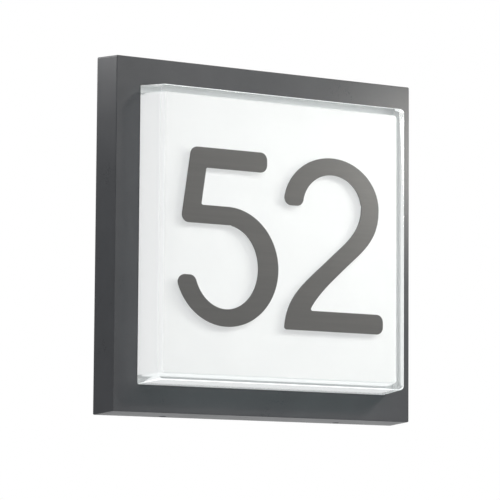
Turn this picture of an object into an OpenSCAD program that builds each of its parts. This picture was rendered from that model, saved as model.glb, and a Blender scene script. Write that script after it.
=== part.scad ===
// Illuminated house number for an outside wall: a dark metal cover over a cast
// base pan, with a square dish of clear glass, white inside, and two metal digits.
// Names ending in _d are distances from the wall, towards the viewer (along -Y).
// X runs to the viewer's right, Z runs up, and the wall is the plane Y = 0.

/* [Cover frame] */
// Width and height of the cover at its wall edge
cover_w = 300; // [280:1:360]
// Depth of the cover, from its wall edge to its front face
cover_d = 30; // [27:0.5:50]
// Lean of each outer side towards the front face
cover_draft = 2; // [0:0.5:4]
// Thickness of the cover's side walls
cover_wall = 2.5; // [2:0.5:4]
// Thickness of the cover's front face
face_t = 3; // [2:0.5:5]
// Radius of the cover's four outer corners
cover_corner_r = 1.2; // [0.8:0.1:4]
// Radius of the rounded edge round the front face
cover_edge_r = 0.7; // [0.3:0.1:1]
// Gap between the wall and the cover's open edge
wall_gap = 1; // [0.5:0.5:3]

/* [Glass] */
// Width of the cover's front face round the glass
frame_border = 23.5; // [20.5:0.5:40]
// How far the glass stands out of the cover
glass_out = 29.5; // [15:0.5:45]
// Lean of each glass side over that length
glass_draft = 2.2; // [0:0.1:5]
// Thickness of the clear glass
glass_t = 6; // [4:0.5:8]
// Radius of the glass's four corners at its front
glass_corner_r = 4; // [3:0.5:12]
// Radius of the same corners where they leave the cover
glass_root_r = 1; // [0.8:0.1:3]
// Radius of the corners inside the dish
glass_inner_r = 3; // [2:0.5:8]
// Radius of the polished edge round the glass front
glass_edge_r = 0.8; // [0.5:0.1:3]
// Width of the flange that holds the glass in the cover
flange_lip = 6.5; // [4:0.5:8]
// Thickness of that flange
flange_t = 6; // [4:0.5:8]
// Thickness of the white layer inside the dish
opal_t = 1.2; // [0.8:0.1:2]
// Gap round the glass in the cover's opening
glass_fit = 0.5; // [0.3:0.1:1]

/* [Glass seal and clamps] */
// Thickness of the seal between the glass flange and the cover
seal_t = 1.5; // [1:0.5:3]
// Clamps along each side of the glass
clamps_per_side = 2; // [1:1:4]
// Distance between the clamps along a side
clamp_pitch = 150; // [100:5:180]
// Width of one clamp
clamp_w = 14; // [10:1:20]
// Thickness of the clamp strip
clamp_t = 1.2; // [1:0.1:2]
// Thickness of the rubber pad under each clamp
pad_t = 1; // [0.5:0.5:2]
// Radius of the screw boss beside each clamp
clamp_boss_r = 4; // [3.5:0.5:5]

/* [Number] */
// Height of the digits
digit_h = 148; // [130:1:170]
// Width of the digits
digit_w = 100.4; // [90:0.1:104]
// Height of a digit's level strokes
bar_t = 17; // [14:0.5:20]
// Width of a digit's upright strokes
stroke_t = 18.5; // [15:0.5:22]
// Radius of a digit's outer corners
digit_corner_r = 6.5; // [3:0.5:6.5]
// Radius of a digit's inner corners
digit_inner_r = 1.5; // [0.5:0.5:2]
// Space between the two digits
digit_gap = 6.3; // [4:0.1:12]
// Thickness of the digit plates
digit_t = 1; // [0.8:0.1:3]
// Thickness of the tape behind them
tape_t = 0.3; // [0.2:0.1:1]
// Place of the number's middle, left or right of the glass's
number_x = -4.3; // [-6:0.1:6]
// Place of the number's middle, above or below the glass's
number_z = -1.7; // [-6:0.1:6]

/* [Base pan] */
// Depth of the base pan's rim from the wall
base_h = 14; // [12:0.5:17]
// Thickness of the pan's floor
base_t = 2.2; // [1.8:0.1:3]
// Thickness of the pan's rim
rim_t = 2.2; // [1.8:0.1:3]
// Height of the floor above the wall
stand_off = 3; // [2.5:0.5:5]
// Radius of the pan's corners
base_corner_r = 4; // [3:0.5:10]
// Gap between the rim's front edge and the cover's walls
cover_fit = 0.3; // [0.2:0.1:0.6]
// Width of the stiffening ribs on the wall side
rib_t = 3; // [2:0.5:4]
// Width of the slots for the wall screws
slot_w = 5.5; // [4.5:0.5:6.5]
// Length of the slots for the wall screws
slot_l = 16; // [10:1:20]
// Distance of the wall screws from the cover's left and right edges
slot_in = 25; // [24:0.5:40]
// Distance between wall screws, upright
slot_pitch_z = 160; // [120:5:180]

/* [Locking screws] */
// Distance between the two locking screws
lock_pitch = 174; // [120:1:200]
// Distance of the locking screws from the wall
lock_d = 7.5; // [7:0.1:8.5]
// Radius of a locking screw
lock_r = 2.5; // [2:0.5:3]
// Length of a locking screw
lock_l = 10; // [8:1:12]
// Depth of a locking screw's end below the cover's surface
lock_recess = 0.5; // [0.3:0.1:1.5]
// Radius of the boss that a locking screw turns in
lock_boss_r = 4.4; // [4.2:0.1:4.6]

/* [Light source] */
// Distance of the tray from the wall
tray_d = 27; // [26:0.5:36]
// Thickness of the tray
tray_t = 1.2; // [0.8:0.1:2]
// Gap between the tray and the white layer
tray_gap = 7; // [4:0.5:10]
// Height of the tray's raised edge
tray_lip = 8; // [4:0.5:12]
// Distance of the lamp board's edge from the tray screws
board_in = 10.6; // [8:0.1:20]
// Thickness of the lamp board
board_t = 1.6; // [1:0.1:2]
// Rows and columns of light chips
led_rows = 6; // [4:2:8]
// Distance of the outer light chips from the board's edge
led_in = 23; // [16:0.5:30]
// Width of a light chip
led_w = 3; // [2:0.1:5]

/* [Driver] */
// Length of the driver's case
driver_l = 110; // [90:1:120]
// Width of the driver's case
driver_w = 38; // [34:1:44]
// Height of the driver's case with its lid
driver_h = 17; // [14:0.5:18]
// Height of the driver's middle above the light's middle
driver_z = 50; // [46:1:60]

/* [Mains connection] */
// Height of the cable entry's middle above the light's middle
cable_z = -58; // [-62:1:-54]
// Radius of the cable entry in the grommet
cable_r = 5.5; // [4:0.5:6.5]
// Radius of the hole that the grommet fills
grommet_hole_r = 11; // [10:0.5:13]
// Height of the terminal block's middle above the light's middle
terminal_z = -16; // [-20:1:-12]
// Distance between the three poles
pole_pitch = 12; // [10:0.5:14]
// Depth of the terminal block
terminal_h = 15; // [12:0.5:17]
// Radius of the insulated leads
lead_r = 1.2; // [0.9:0.1:1.4]

/* [Hidden] */
$fn = 48;

sliver = 0.01;
cut = 0.5;
thread_fit = 0.05;
contact = 0.05;
hull_fn = 32;

// Places along the depth, each worked out from the one in front of it
face_d = wall_gap + cover_d;
face_back_d = face_d - face_t;
flange_front_d = face_back_d - seal_t;
flange_back_d = flange_front_d - flange_t;
clamp_front_d = flange_back_d - pad_t;
clamp_back_d = clamp_front_d - clamp_t;
glass_front_d = face_d + glass_out;
floor_d = stand_off + base_t;
tray_front_d = tray_d + tray_t;
board_front_d = tray_front_d + board_t;

// Half widths of the leaning sides at a distance d from the wall
function cover_half(d) = cover_w/2 - cover_draft*(d - wall_gap)/cover_d;
function glass_half(d) = cover_half(face_d) - frame_border - glass_draft*(d - face_d)/glass_out;

opening_w = 2*(glass_half(face_back_d) + glass_fit);
opening_r = glass_root_r + glass_fit;
flange_half = glass_half(flange_front_d) + flange_lip;
flange_r = glass_corner_r + flange_lip;
seal_gap = 1;

// Screw heads, as [radius, height]
large_head = [3.8, 2.4];
clamp_head = [3.6, 2.2];
driver_head = [3.2, 2];
small_head = [2.8, 1.8];

// Clamps sit across the flange's edge, each on a boss outside it
clamp_bite = 4;
clamp_boss_half = flange_half + clamp_boss_r + 2.5;
clamp_hole_r = 2;
clamp_hole_l = 7;
clamp_screw_l = 6.5;
clamp_turned = 3;

// Round digit parts reach past the flat ones and are thinner above and below
overshoot = 0.7;
bowl_top_t = bar_t - 1.6;
bowl_foot_t = bar_t - 2.4;
bowl_shift = 0.9;

// Base pan and the pockets for the locking screws' bosses
base_half = cover_half(base_h) - cover_wall - cover_fit;
lock_face = cover_half(lock_d);
lock_boss_gap = 0.6;
lock_tip = lock_face - lock_recess - lock_l;
lock_roof = lock_tip - contact;
lock_boss_end = lock_roof + lock_boss_gap;
pocket_fit = 1.2;
pocket_half = lock_boss_r + pocket_fit;
lock_mouth_r = lock_r + 0.75;
lock_socket_r = 1.45;
lock_socket_l = 4;
slot_pitch_x = cover_w - 2*slot_in;
slot_pad_edge = 4;
boss_skin = 0.6;
drain_x = 45;
drain_w = 8;
drain_h = 2;

// Tray, its posts and the lamp board
tray_half = glass_half(tray_d) - glass_t - opal_t - tray_gap;
tray_corner_r = 2;
tray_fold = 1;
post_in = 12;
post_half = tray_half - post_in;
board_w = 2*(post_half - board_in);
led_pitch = (board_w - 2*led_in)/(led_rows - 1);
post_r = 4.5;
post_pilot_l = 12;
gusset_t = 1.8;
gusset_l = 7;
gusset_h = 14;
tray_screw_r = 2;
tray_screw_l = 10;
board_screw_r = 1.5;
board_screw_l = 3.5;
board_screw_in = 7;
led_h = 0.7;
feed_x = tray_half - 9;
feed_z = 30;
feed_hole_r = 5;
feed_bore_r = 3.8;
feed_side = 1.5;
connector_l = 12;
connector_w = 10;
connector_h = 6;
connector_pitch = 4;

// Driver on two low pads
driver_pad_h = 2;
driver_d = floor_d + driver_pad_h;
driver_lid_h = 5;
driver_corner_r = 2.5;
driver_ear_l = 9;
driver_ear_w = 10;
driver_ear_t = 2.5;
driver_ear_z = driver_w/2 - driver_ear_w/2;
driver_screw_r = 1.75;
driver_screw_l = 5.5;
pole_block_l = 10;
pole_block_w = 18;
pole_block_h = 11;
pole_block_z = driver_ear_w + 0.5 + pole_block_w/2 - driver_w/2;
driver_pole_pitch = 8;
wire_hole_r = lead_r + 0.3;
wire_hole_l = 6;
wire_in = 4;
driver_wire_d = driver_d + 6;

// Terminal block on its boss
terminal_d = floor_d + 1;
terminal_w = 20;
terminal_l = 3*pole_pitch;
terminal_wire_d = terminal_d + 5;
terminal_screw_r = 1.9;
terminal_screw_l = 4;
terminal_fix_r = 1.5;
terminal_fix_z = terminal_z - 3;
terminal_fix_l = 4.5;
terminal_seat = 3;
terminal_boss_r = 5;
terminal_step = 2.5;
middle_pole_z = 3.5;
earth_x = 62;
earth_z = -20;
earth_boss_h = 3;
earth_boss_r = 6;
earth_screw_r = 2;
earth_screw_l = 5;
lug_t = 0.8;
lug_r = 4.2;
lug_barrel_l = 7;
lug_barrel_r = 1.9;

// Leads, as routes of [x, z, distance from the wall]
lead_sides = 8;
lead_steps = 3;
pole_top_z = terminal_z + terminal_w/2;
driver_end_x = driver_l/2 + pole_block_l;
left_pole_z = driver_z - pole_block_z;
right_pole_z = driver_z + pole_block_z;
half_pole = driver_pole_pitch/2;
board_wire_d = board_front_d + connector_h/2;
connector_x = board_w/2 - connector_l/2 - 1;
connector_face_x = connector_x + connector_l/2;

// Straight ends of the leads, and how far they bow on their way
stub = 4;
slight_bow = 4;
small_bow = 6;
side_bow = 8;
mid_bow = 13;
wide_bow = 20;
loop_z = pole_top_z + wide_bow + 2;
feed_back_d = tray_d - 5;
feed_front_d = tray_front_d + 3;
loop_d = terminal_wire_d + 1;
run_d = driver_wire_d + 2;
earth_wire_z = earth_z + lug_r + lug_barrel_l;
earth_wire_d = floor_d + earth_boss_h + lug_barrel_r;

live_route = [
    [-pole_pitch, pole_top_z - wire_in, terminal_wire_d],
    [-pole_pitch, pole_top_z + stub, terminal_wire_d],
    [-pole_pitch - wide_bow, loop_z, loop_d],
    [-driver_end_x - side_bow, left_pole_z - wide_bow, driver_wire_d],
    [-driver_end_x - mid_bow, left_pole_z, driver_wire_d],
    [-driver_end_x - stub, left_pole_z + half_pole, driver_wire_d],
    [-driver_end_x + wire_in, left_pole_z + half_pole, driver_wire_d]];
neutral_route = [
    [0, pole_top_z - wire_in, terminal_wire_d],
    [0, pole_top_z + stub, terminal_wire_d],
    [-wide_bow + slight_bow, loop_z + slight_bow, loop_d],
    [-driver_end_x + mid_bow, left_pole_z - wide_bow - 2, driver_wire_d],
    [-driver_end_x - side_bow, left_pole_z - mid_bow, driver_wire_d],
    [-driver_end_x - stub, left_pole_z - half_pole, driver_wire_d],
    [-driver_end_x + wire_in, left_pole_z - half_pole, driver_wire_d]];
earth_route = [
    [pole_pitch, pole_top_z - wire_in, terminal_wire_d],
    [pole_pitch, pole_top_z + stub, terminal_wire_d],
    [pole_pitch + wide_bow - slight_bow, loop_z - small_bow, terminal_wire_d],
    [earth_x - small_bow, loop_z - side_bow, floor_d + small_bow],
    [earth_x, earth_wire_z + stub, earth_wire_d],
    [earth_x, earth_wire_z, earth_wire_d]];
red_route = [
    [driver_end_x - wire_in, right_pole_z + half_pole, driver_wire_d],
    [driver_end_x + stub, right_pole_z + half_pole, driver_wire_d],
    [feed_x - slight_bow, feed_z + mid_bow + 1, run_d],
    [feed_x, feed_z + feed_side, feed_back_d],
    [feed_x, feed_z + feed_side, feed_front_d],
    [connector_face_x + stub, feed_z + connector_pitch/2, board_wire_d],
    [connector_face_x - wire_in, feed_z + connector_pitch/2, board_wire_d]];
black_route = [
    [driver_end_x - wire_in, right_pole_z - half_pole, driver_wire_d],
    [driver_end_x + stub, right_pole_z - half_pole, driver_wire_d],
    [feed_x - side_bow, feed_z + small_bow, run_d],
    [feed_x, feed_z - feed_side, feed_back_d],
    [feed_x, feed_z - feed_side, feed_front_d],
    [connector_face_x + stub, feed_z - connector_pitch/2, board_wire_d],
    [connector_face_x - wire_in, feed_z - connector_pitch/2, board_wire_d]];

// Places an upright drawing at a distance from the wall and gives it a depth
module slab(d, depth) {
    translate([0, -d, 0]) rotate([90, 0, 0]) linear_extrude(depth) children();
}

// Stands a piece on the plane at distance d, with its own Z towards the viewer
module at(x, z, d) {
    translate([x, -d, z]) rotate([90, 0, 0]) children();
}

module rounded_rect(w, h, r) {
    square([w, h - 2*r], center = true);
    square([w - 2*r, h], center = true);
    for (sx = [-1, 1], sz = [-1, 1]) {
        translate([sx*(w/2 - r), sz*(h/2 - r)]) circle(r);
    }
}

module rounded_square(w, r) {
    rounded_rect(w, w, r);
}

module stadium(l, w) {
    square([l - w, w], center = true);
    for (s = [-1, 1]) translate([s*(l - w)/2, 0]) circle(w/2);
}

// Joins square sections, each [distance from the wall, width, corner radius]
module loft(sections) {
    hull() for (s = sections) slab(s[0], sliver) rounded_square(s[1], s[2], $fn = hull_fn);
}

module four_sides() {
    for (a = [0:90:270]) rotate([0, a, 0]) children();
}

module four_corners(half) {
    for (sx = [-1, 1], sz = [-1, 1]) translate([sx*half, 0, sz*half]) children();
}

// A screw whose head stands on the local plane Z = 0, with a cross recess
module pan_screw(r, l, head) {
    head_r = head[0];
    head_h = head[1];
    recess_w = head_r*0.28;
    difference() {
        union() {
            translate([0, 0, -l]) cylinder(h = l, r = r);
            cylinder(h = head_h*0.6, r = head_r);
            translate([0, 0, head_h*0.6]) cylinder(h = head_h*0.4, r1 = head_r, r2 = head_r*0.7);
        }
        for (a = [0, 90]) rotate([0, 0, a]) translate([0, 0, head_h]) {
            cube([head_r*1.1, recess_w, head_h*1.1], center = true);
        }
    }
}

function unit(v) = v/norm(v);

function spline(a, b, c, d, t) =
    0.5*(2*b + (c - a)*t + (2*a - 5*b + 4*c - d)*t*t + (3*b - a - 3*c + d)*t*t*t);

// Points of a smooth curve through a route whose first and last stretches are straight
function smooth(p) = let (last = len(p) - 1) [
    p[0],
    for (i = [1:last - 2], k = [0:lead_steps - 1])
        spline(p[i - 1], p[i], p[i + 1], p[i + 2], k/lead_steps),
    p[last - 1],
    p[last]];

// A round lead along a route of [x, z, distance from the wall]
module lead(route) {
    path = [for (q = smooth(route)) [q[0], -q[2], q[1]]];
    last = len(path) - 1;
    along = [for (i = [0:last]) unit(path[min(i + 1, last)] - path[max(i - 1, 0)])];
    side = [for (i = 0, n = unit(cross(along[0], [0.3, 1, 0.2])); i <= last;
        i = i + 1, n = i > last ? n : unit(n - (n*along[i])*along[i])) n];
    rings = [for (i = [0:last], k = [0:lead_sides - 1])
        let (a = 360*k/lead_sides, up = cross(along[i], side[i]))
        path[i] + lead_r*(cos(a)*side[i] + sin(a)*up)];
    walls = [for (i = [0:last - 1], k = [0:lead_sides - 1])
        let (m = (k + 1)%lead_sides, b = i*lead_sides, c = b + lead_sides)
        each [[b + k, c + k, c + m], [b + k, c + m, b + m]]];
    start_cap = [for (k = [0:lead_sides - 1]) k];
    end_cap = [for (k = [lead_sides - 1:-1:0]) last*lead_sides + k];
    polyhedron(rings, concat(walls, [start_cap, end_cap]), convexity = 6);
}

// Outline of the base pan, moved inwards, with the two pockets in its lower edge
module base_outline(inset) {
    pocket_w = 2*(pocket_half + inset);
    pocket_h = base_half - lock_roof + inset;
    difference() {
        rounded_square(2*(base_half - inset), base_corner_r - inset/2);
        for (s = [-1, 1]) {
            translate([s*lock_pitch/2 - pocket_w/2, -base_half - cut]) square([pocket_w, pocket_h + cut]);
        }
    }
}

module wall_slots(grow) {
    for (sx = [-1, 1], sz = [-1, 1]) {
        translate([sx*slot_pitch_x/2, sz*slot_pitch_z/2]) stadium(slot_l + 2*grow, slot_w + 2*grow);
    }
}

module wall_ribs() {
    intersection() {
        base_outline(rim_t/2);
        union() {
            for (z = [-slot_pitch_z/2, 0, slot_pitch_z/2]) {
                translate([0, z]) square([2*base_half, rib_t], center = true);
            }
            for (s = [-1, 1]) translate([s*slot_pitch_z/2, 0]) square([rib_t, 2*base_half], center = true);
            wall_slots(slot_pad_edge);
        }
    }
}

// One post with four gussets and a blind hole for its screw
module tray_post() {
    post_h = tray_d - floor_d;
    difference() {
        union() {
            cylinder(h = post_h, r = post_r);
            for (a = [0:90:270]) rotate([90, 0, a]) linear_extrude(gusset_t, center = true) {
                polygon([[0, 0], [post_r + gusset_l, 0], [post_r, gusset_h], [0, gusset_h]]);
            }
        }
        translate([0, 0, post_h - post_pilot_l]) {
            cylinder(h = post_pilot_l + cut, r = tray_screw_r + thread_fit);
        }
    }
}

module driver_fixings() {
    for (s = [-1, 1]) {
        translate([s*(driver_l/2 + driver_ear_l/2), driver_z - s*driver_ear_z]) children();
    }
}

module rim_band() difference() {
    base_outline(0);
    base_outline(rim_t);
}

// Floor of the pan with the low band behind it that stands on the wall
module base_pan() color("silver") difference() {
    union() {
        slab(0, floor_d) rim_band();
        slab(stand_off, base_t) base_outline(0);
        slab(0, stand_off + base_t/2) wall_ribs();
        slab(stand_off, base_t + driver_pad_h) driver_fixings() circle(driver_ear_l/2 - 0.5);
        slab(stand_off, base_t + terminal_d - floor_d) translate([0, terminal_fix_z]) {
            circle(terminal_boss_r);
        }
        slab(stand_off, base_t + earth_boss_h) translate([earth_x, earth_z]) circle(earth_boss_r);
    }
    slab(-cut, floor_d + 2*cut) {
        wall_slots(0);
        translate([0, cable_z]) circle(grommet_hole_r);
    }
    slab(stand_off + boss_skin, base_t + driver_pad_h) driver_fixings() {
        circle(driver_screw_r + thread_fit);
    }
    slab(stand_off + boss_skin, base_t + terminal_d - floor_d) translate([0, terminal_fix_z]) {
        circle(terminal_fix_r + thread_fit);
    }
    slab(stand_off + boss_skin, base_t + earth_boss_h) translate([earth_x, earth_z]) {
        circle(earth_screw_r + thread_fit);
    }
    for (s = [-1, 1]) translate([s*drain_x, 0, -base_half]) {
        cube([drain_w, 2*drain_h, 3*rim_t], center = true);
    }
}

module pan_rim() color("silver") slab(floor_d, base_h - floor_d) rim_band();

module pan_posts() color("silver") four_corners(post_half) at(0, 0, floor_d) tray_post();

module cable_grommet() color("dimgray") {
    neck_r = grommet_hole_r - contact;
    lip_r = grommet_hole_r + 2.5;
    lip_t = 1.5;
    lip_d = base_t + lip_t;
    nose_r = cable_r + 1.6;
    nose_h = 7;
    at(0, cable_z, stand_off) rotate_extrude() polygon([
        [cable_r, -lip_t], [lip_r, -lip_t], [lip_r, 0], [neck_r, 0], [neck_r, base_t], [lip_r, base_t],
        [lip_r - 0.8, lip_d], [nose_r + 1, lip_d], [nose_r, lip_d + nose_h], [cable_r, lip_d + nose_h]]);
}

// The middle pole's screw stands higher, beside the block's own fixing screw
function pole_screw_z(i) = i == 0 ? middle_pole_z : 0;

// Three-pole block with a screw well over each clamp and wire holes above and below
module terminal_block() color("ivory") {
    pole_side = 0.8;
    foot_h = 0.55*terminal_h;
    at(0, terminal_z, terminal_d) difference() {
        union() {
            translate([-terminal_l/2, -terminal_w/2, 0]) cube([terminal_l, terminal_w, foot_h]);
            for (i = [-1:1]) {
                translate([(i - 0.5)*pole_pitch + pole_side, terminal_step - terminal_w/2, 0]) {
                    cube([pole_pitch - 2*pole_side, terminal_w - 2*terminal_step, terminal_h]);
                }
            }
        }
        for (i = [-1:1], s = [-1, 1]) translate([i*pole_pitch, s*terminal_w/2, 0]) {
            translate([0, s*cut, terminal_wire_d - terminal_d]) rotate([s*90, 0, 0]) {
                cylinder(h = wire_hole_l + cut, r = wire_hole_r);
            }
        }
        for (i = [-1:1]) translate([i*pole_pitch, pole_screw_z(i), terminal_h - terminal_screw_l]) {
            cylinder(h = terminal_screw_l + cut, r = terminal_screw_r + 0.3);
        }
        translate([0, terminal_fix_z - terminal_z, 0]) {
            translate([0, 0, -cut]) cylinder(h = terminal_h, r = terminal_fix_r + 0.1);
            translate([0, 0, terminal_seat]) cylinder(h = terminal_h, r = small_head[0] + 0.1);
        }
    }
}

module terminal_screws() color("gold") {
    body_l = terminal_screw_l - 1;
    for (i = [-1:1]) {
        at(i*pole_pitch, terminal_z + pole_screw_z(i), terminal_d + terminal_h - terminal_screw_l) {
            difference() {
                cylinder(h = body_l, r = terminal_screw_r);
                translate([0, 0, body_l]) cube([2*terminal_screw_r + 1, 0.7, 2], center = true);
            }
        }
    }
}

module terminal_fixing_screw() color("silver") {
    at(0, terminal_fix_z, terminal_d + terminal_seat) {
        pan_screw(terminal_fix_r, terminal_fix_l, small_head);
    }
}

module earth_screw() color("gold") {
    at(earth_x, earth_z, floor_d + earth_boss_h + lug_t) {
        pan_screw(earth_screw_r, earth_screw_l, large_head);
    }
}

module earth_lug() color("gainsboro") at(earth_x, earth_z, floor_d + earth_boss_h) difference() {
    union() {
        cylinder(h = lug_t, r = lug_r);
        translate([-lug_barrel_r, 0, 0]) cube([2*lug_barrel_r, lug_r + lug_barrel_l, lug_t]);
        translate([0, lug_r + lug_barrel_l, lug_barrel_r]) rotate([90, 0, 0]) {
            cylinder(h = lug_barrel_l - 1, r = lug_barrel_r);
        }
    }
    translate([0, 0, -cut]) cylinder(h = lug_t + 2*cut, r = earth_screw_r + 0.1);
}

module live_lead() color("saddlebrown") lead(live_route);

module neutral_lead() color("royalblue") lead(neutral_route);

module earth_lead() color("yellowgreen") lead(earth_route);

module lamp_lead_red() color("firebrick") lead(red_route);

module lamp_lead_black() color([0.1, 0.1, 0.1]) lead(black_route);

module driver_case() color("whitesmoke") difference() {
    union() {
        slab(driver_d, driver_h - driver_lid_h) translate([0, driver_z]) {
            rounded_rect(driver_l, driver_w, driver_corner_r);
        }
        slab(driver_d, driver_ear_t) driver_fixings() {
            square([driver_ear_l + 1, driver_ear_w], center = true);
        }
    }
    slab(driver_d - cut, driver_h) driver_fixings() circle(driver_screw_r + 0.2);
}

// Lid with a step round its edge and a row of cooling grooves
module driver_lid() color("lightgray") {
    step = 1.2;
    groove_w = 1.6;
    groove_pitch = 5;
    grooves = 7;
    lid_d = driver_d + driver_h - driver_lid_h;
    difference() {
        union() {
            slab(lid_d, driver_lid_h - step) translate([0, driver_z]) {
                rounded_rect(driver_l, driver_w, driver_corner_r);
            }
            slab(lid_d, driver_lid_h) translate([0, driver_z]) {
                rounded_rect(driver_l - 2*step, driver_w - 2*step, driver_corner_r);
            }
        }
        for (i = [0:grooves - 1], s = [-1, 1]) {
            translate([s*(driver_l/2 - 8 - i*groove_pitch), 0, driver_z]) {
                slab(lid_d + driver_lid_h - 1, 2) rotate(90) stadium(driver_w*0.55, groove_w);
            }
        }
    }
}

module driver_terminals() color("orange") for (s = [-1, 1]) difference() {
    translate([s*(driver_l/2 + pole_block_l/2), -driver_d - pole_block_h/2, driver_z + s*pole_block_z]) {
        cube([pole_block_l, pole_block_h, pole_block_w], center = true);
    }
    for (k = [-1, 1]) {
        translate([s*(driver_end_x + cut), -driver_wire_d, driver_z + s*pole_block_z + k*half_pole]) {
            rotate([0, -s*90, 0]) cylinder(h = wire_hole_l + cut, r = wire_hole_r);
        }
    }
}

module driver_screws() color("silver") {
    for (s = [-1, 1]) {
        at(s*(driver_l/2 + driver_ear_l/2), driver_z - s*driver_ear_z, driver_d + driver_ear_t) {
            pan_screw(driver_screw_r, driver_screw_l, driver_head);
        }
    }
}

// Sheet tray with its edge folded towards the viewer on all four sides
module reflector_tray() color("white") difference() {
    union() {
        slab(tray_d, tray_t) rounded_square(2*tray_half, tray_corner_r);
        slab(tray_d, tray_lip) difference() {
            rounded_square(2*tray_half, tray_corner_r);
            rounded_square(2*(tray_half - tray_t), tray_corner_r - tray_fold);
        }
    }
    slab(tray_d - cut, tray_t + 2*cut) {
        for (sx = [-1, 1], sz = [-1, 1]) {
            translate([sx*post_half, sz*post_half]) circle(tray_screw_r + 0.25);
        }
        translate([feed_x, feed_z]) circle(feed_hole_r);
        board_holes() circle(board_screw_r + thread_fit);
    }
}

module board_holes() {
    at_edge = board_w/2 - board_screw_in;
    for (sx = [-1, 1], sz = [-1, 1]) translate([sx*at_edge, sz*at_edge]) children();
    children();
}

module tray_screws() color("silver") {
    four_corners(post_half) at(0, 0, tray_front_d) pan_screw(tray_screw_r, tray_screw_l, large_head);
}

module tray_grommet() color("dimgray") {
    lip = 1.2;
    at(feed_x, feed_z, tray_d) rotate_extrude() polygon([
        [feed_bore_r, -lip], [feed_hole_r + lip, -lip], [feed_hole_r + lip, 0], [feed_hole_r - contact, 0],
        [feed_hole_r - contact, tray_t], [feed_hole_r + lip, tray_t], [feed_hole_r + lip, tray_t + lip],
        [feed_bore_r, tray_t + lip]]);
}

module lamp_board() color("snow") difference() {
    slab(tray_front_d, board_t) rounded_square(board_w, 3);
    slab(tray_front_d - cut, board_t + 2*cut) board_holes() circle(board_screw_r + 0.15);
}

module light_chips() color("khaki") {
    first = -(led_rows - 1)/2*led_pitch;
    for (i = [0:led_rows - 1], j = [0:led_rows - 1]) {
        translate([first + i*led_pitch, -board_front_d - led_h/2, first + j*led_pitch]) {
            cube([led_w, led_h, led_w], center = true);
        }
    }
}

module board_connector() color("white") difference() {
    translate([connector_x, -board_front_d - connector_h/2, feed_z]) {
        cube([connector_l, connector_h, connector_w], center = true);
    }
    for (s = [-1, 1]) {
        translate([connector_face_x + cut, -board_wire_d, feed_z + s*connector_pitch/2]) {
            rotate([0, -90, 0]) cylinder(h = wire_hole_l + cut, r = wire_hole_r);
        }
    }
}

module board_screws() color("silver") {
    at(0, 0, board_front_d) board_holes() pan_screw(board_screw_r, board_screw_l, small_head);
}

module clamp_places() {
    four_sides() for (i = [0:clamps_per_side - 1]) {
        translate([(i - (clamps_per_side - 1)/2)*clamp_pitch, 0, 0]) children();
    }
}

// Form of the dish's outside moved inwards, with corners that open out from the cover to its front
module dish_form(inset, back_d, root_r, corner_r, edge_r) {
    front_d = glass_front_d - inset;
    rim_d = front_d - edge_r;
    loft(concat(
        [for (d = [back_d, face_d]) [d, 2*(glass_half(d) - inset), root_r]],
        [for (a = [0:30:90])
            let (fall = edge_r*(1 - cos(a)), d = rim_d + edge_r*sin(a))
            [d - sliver, 2*(glass_half(rim_d) - inset - fall), corner_r - 0.6*fall]]));
}

module cover_frame() color([0.33, 0.34, 0.34]) difference() {
    union() {
        difference() {
            loft(concat(
                [[wall_gap, cover_w, cover_corner_r]],
                [for (a = [0:22.5:90])
                    let (fall = cover_edge_r*(1 - cos(a)), d = face_d - cover_edge_r*(1 - sin(a)))
                    [d - sliver, 2*(cover_half(face_d - cover_edge_r) - fall), cover_corner_r - fall/2]]));
            loft([[wall_gap - cut, 2*(cover_half(wall_gap - cut) - cover_wall), cover_corner_r],
                [face_back_d - sliver, 2*(cover_half(face_back_d) - cover_wall), cover_corner_r]]);
        }
        clamp_places() at(0, clamp_boss_half, clamp_front_d) {
            cylinder(h = face_back_d - clamp_front_d + cut, r = clamp_boss_r);
        }
        for (s = [-1, 1]) translate([s*lock_pitch/2, -lock_d, -lock_face + cover_wall/2]) {
            cylinder(h = lock_face - lock_boss_end - cover_wall/2, r = lock_boss_r);
        }
    }
    slab(face_back_d - cut, face_t + 2*cut) rounded_square(opening_w, opening_r);
    clamp_places() at(0, clamp_boss_half, clamp_front_d - cut) {
        cylinder(h = clamp_hole_l + cut, r = clamp_hole_r + thread_fit);
    }
    for (s = [-1, 1]) translate([s*lock_pitch/2, -lock_d, -lock_face - cut]) {
        cylinder(h = lock_face - lock_boss_end + 2*cut, r = lock_r + thread_fit);
        cylinder(h = cut + lock_mouth_r - lock_r, r1 = lock_mouth_r + cut, r2 = lock_r);
    }
}

module glass_dish() color([0.8, 0.95, 0.9, 0.35]) difference() {
    union() {
        dish_form(0, flange_back_d, glass_root_r, glass_corner_r, glass_edge_r);
        slab(flange_back_d, flange_t) rounded_square(2*flange_half, flange_r);
    }
    dish_form(glass_t, flange_back_d - cut, glass_inner_r, glass_inner_r, 2*glass_edge_r);
}

module opal_layer() color("white") difference() {
    opal_inner_r = glass_inner_r - opal_t/2;
    dish_form(glass_t + contact, flange_back_d, glass_inner_r, glass_inner_r, 2*glass_edge_r);
    dish_form(glass_t + opal_t, flange_back_d - cut, opal_inner_r, opal_inner_r, 2*glass_edge_r);
}

module glass_seal() color("gainsboro") slab(flange_front_d, seal_t) difference() {
    rounded_square(2*(flange_half - seal_gap), flange_r - seal_gap);
    rounded_square(2*(glass_half(flange_front_d) + seal_gap/2), glass_root_r);
}

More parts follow.
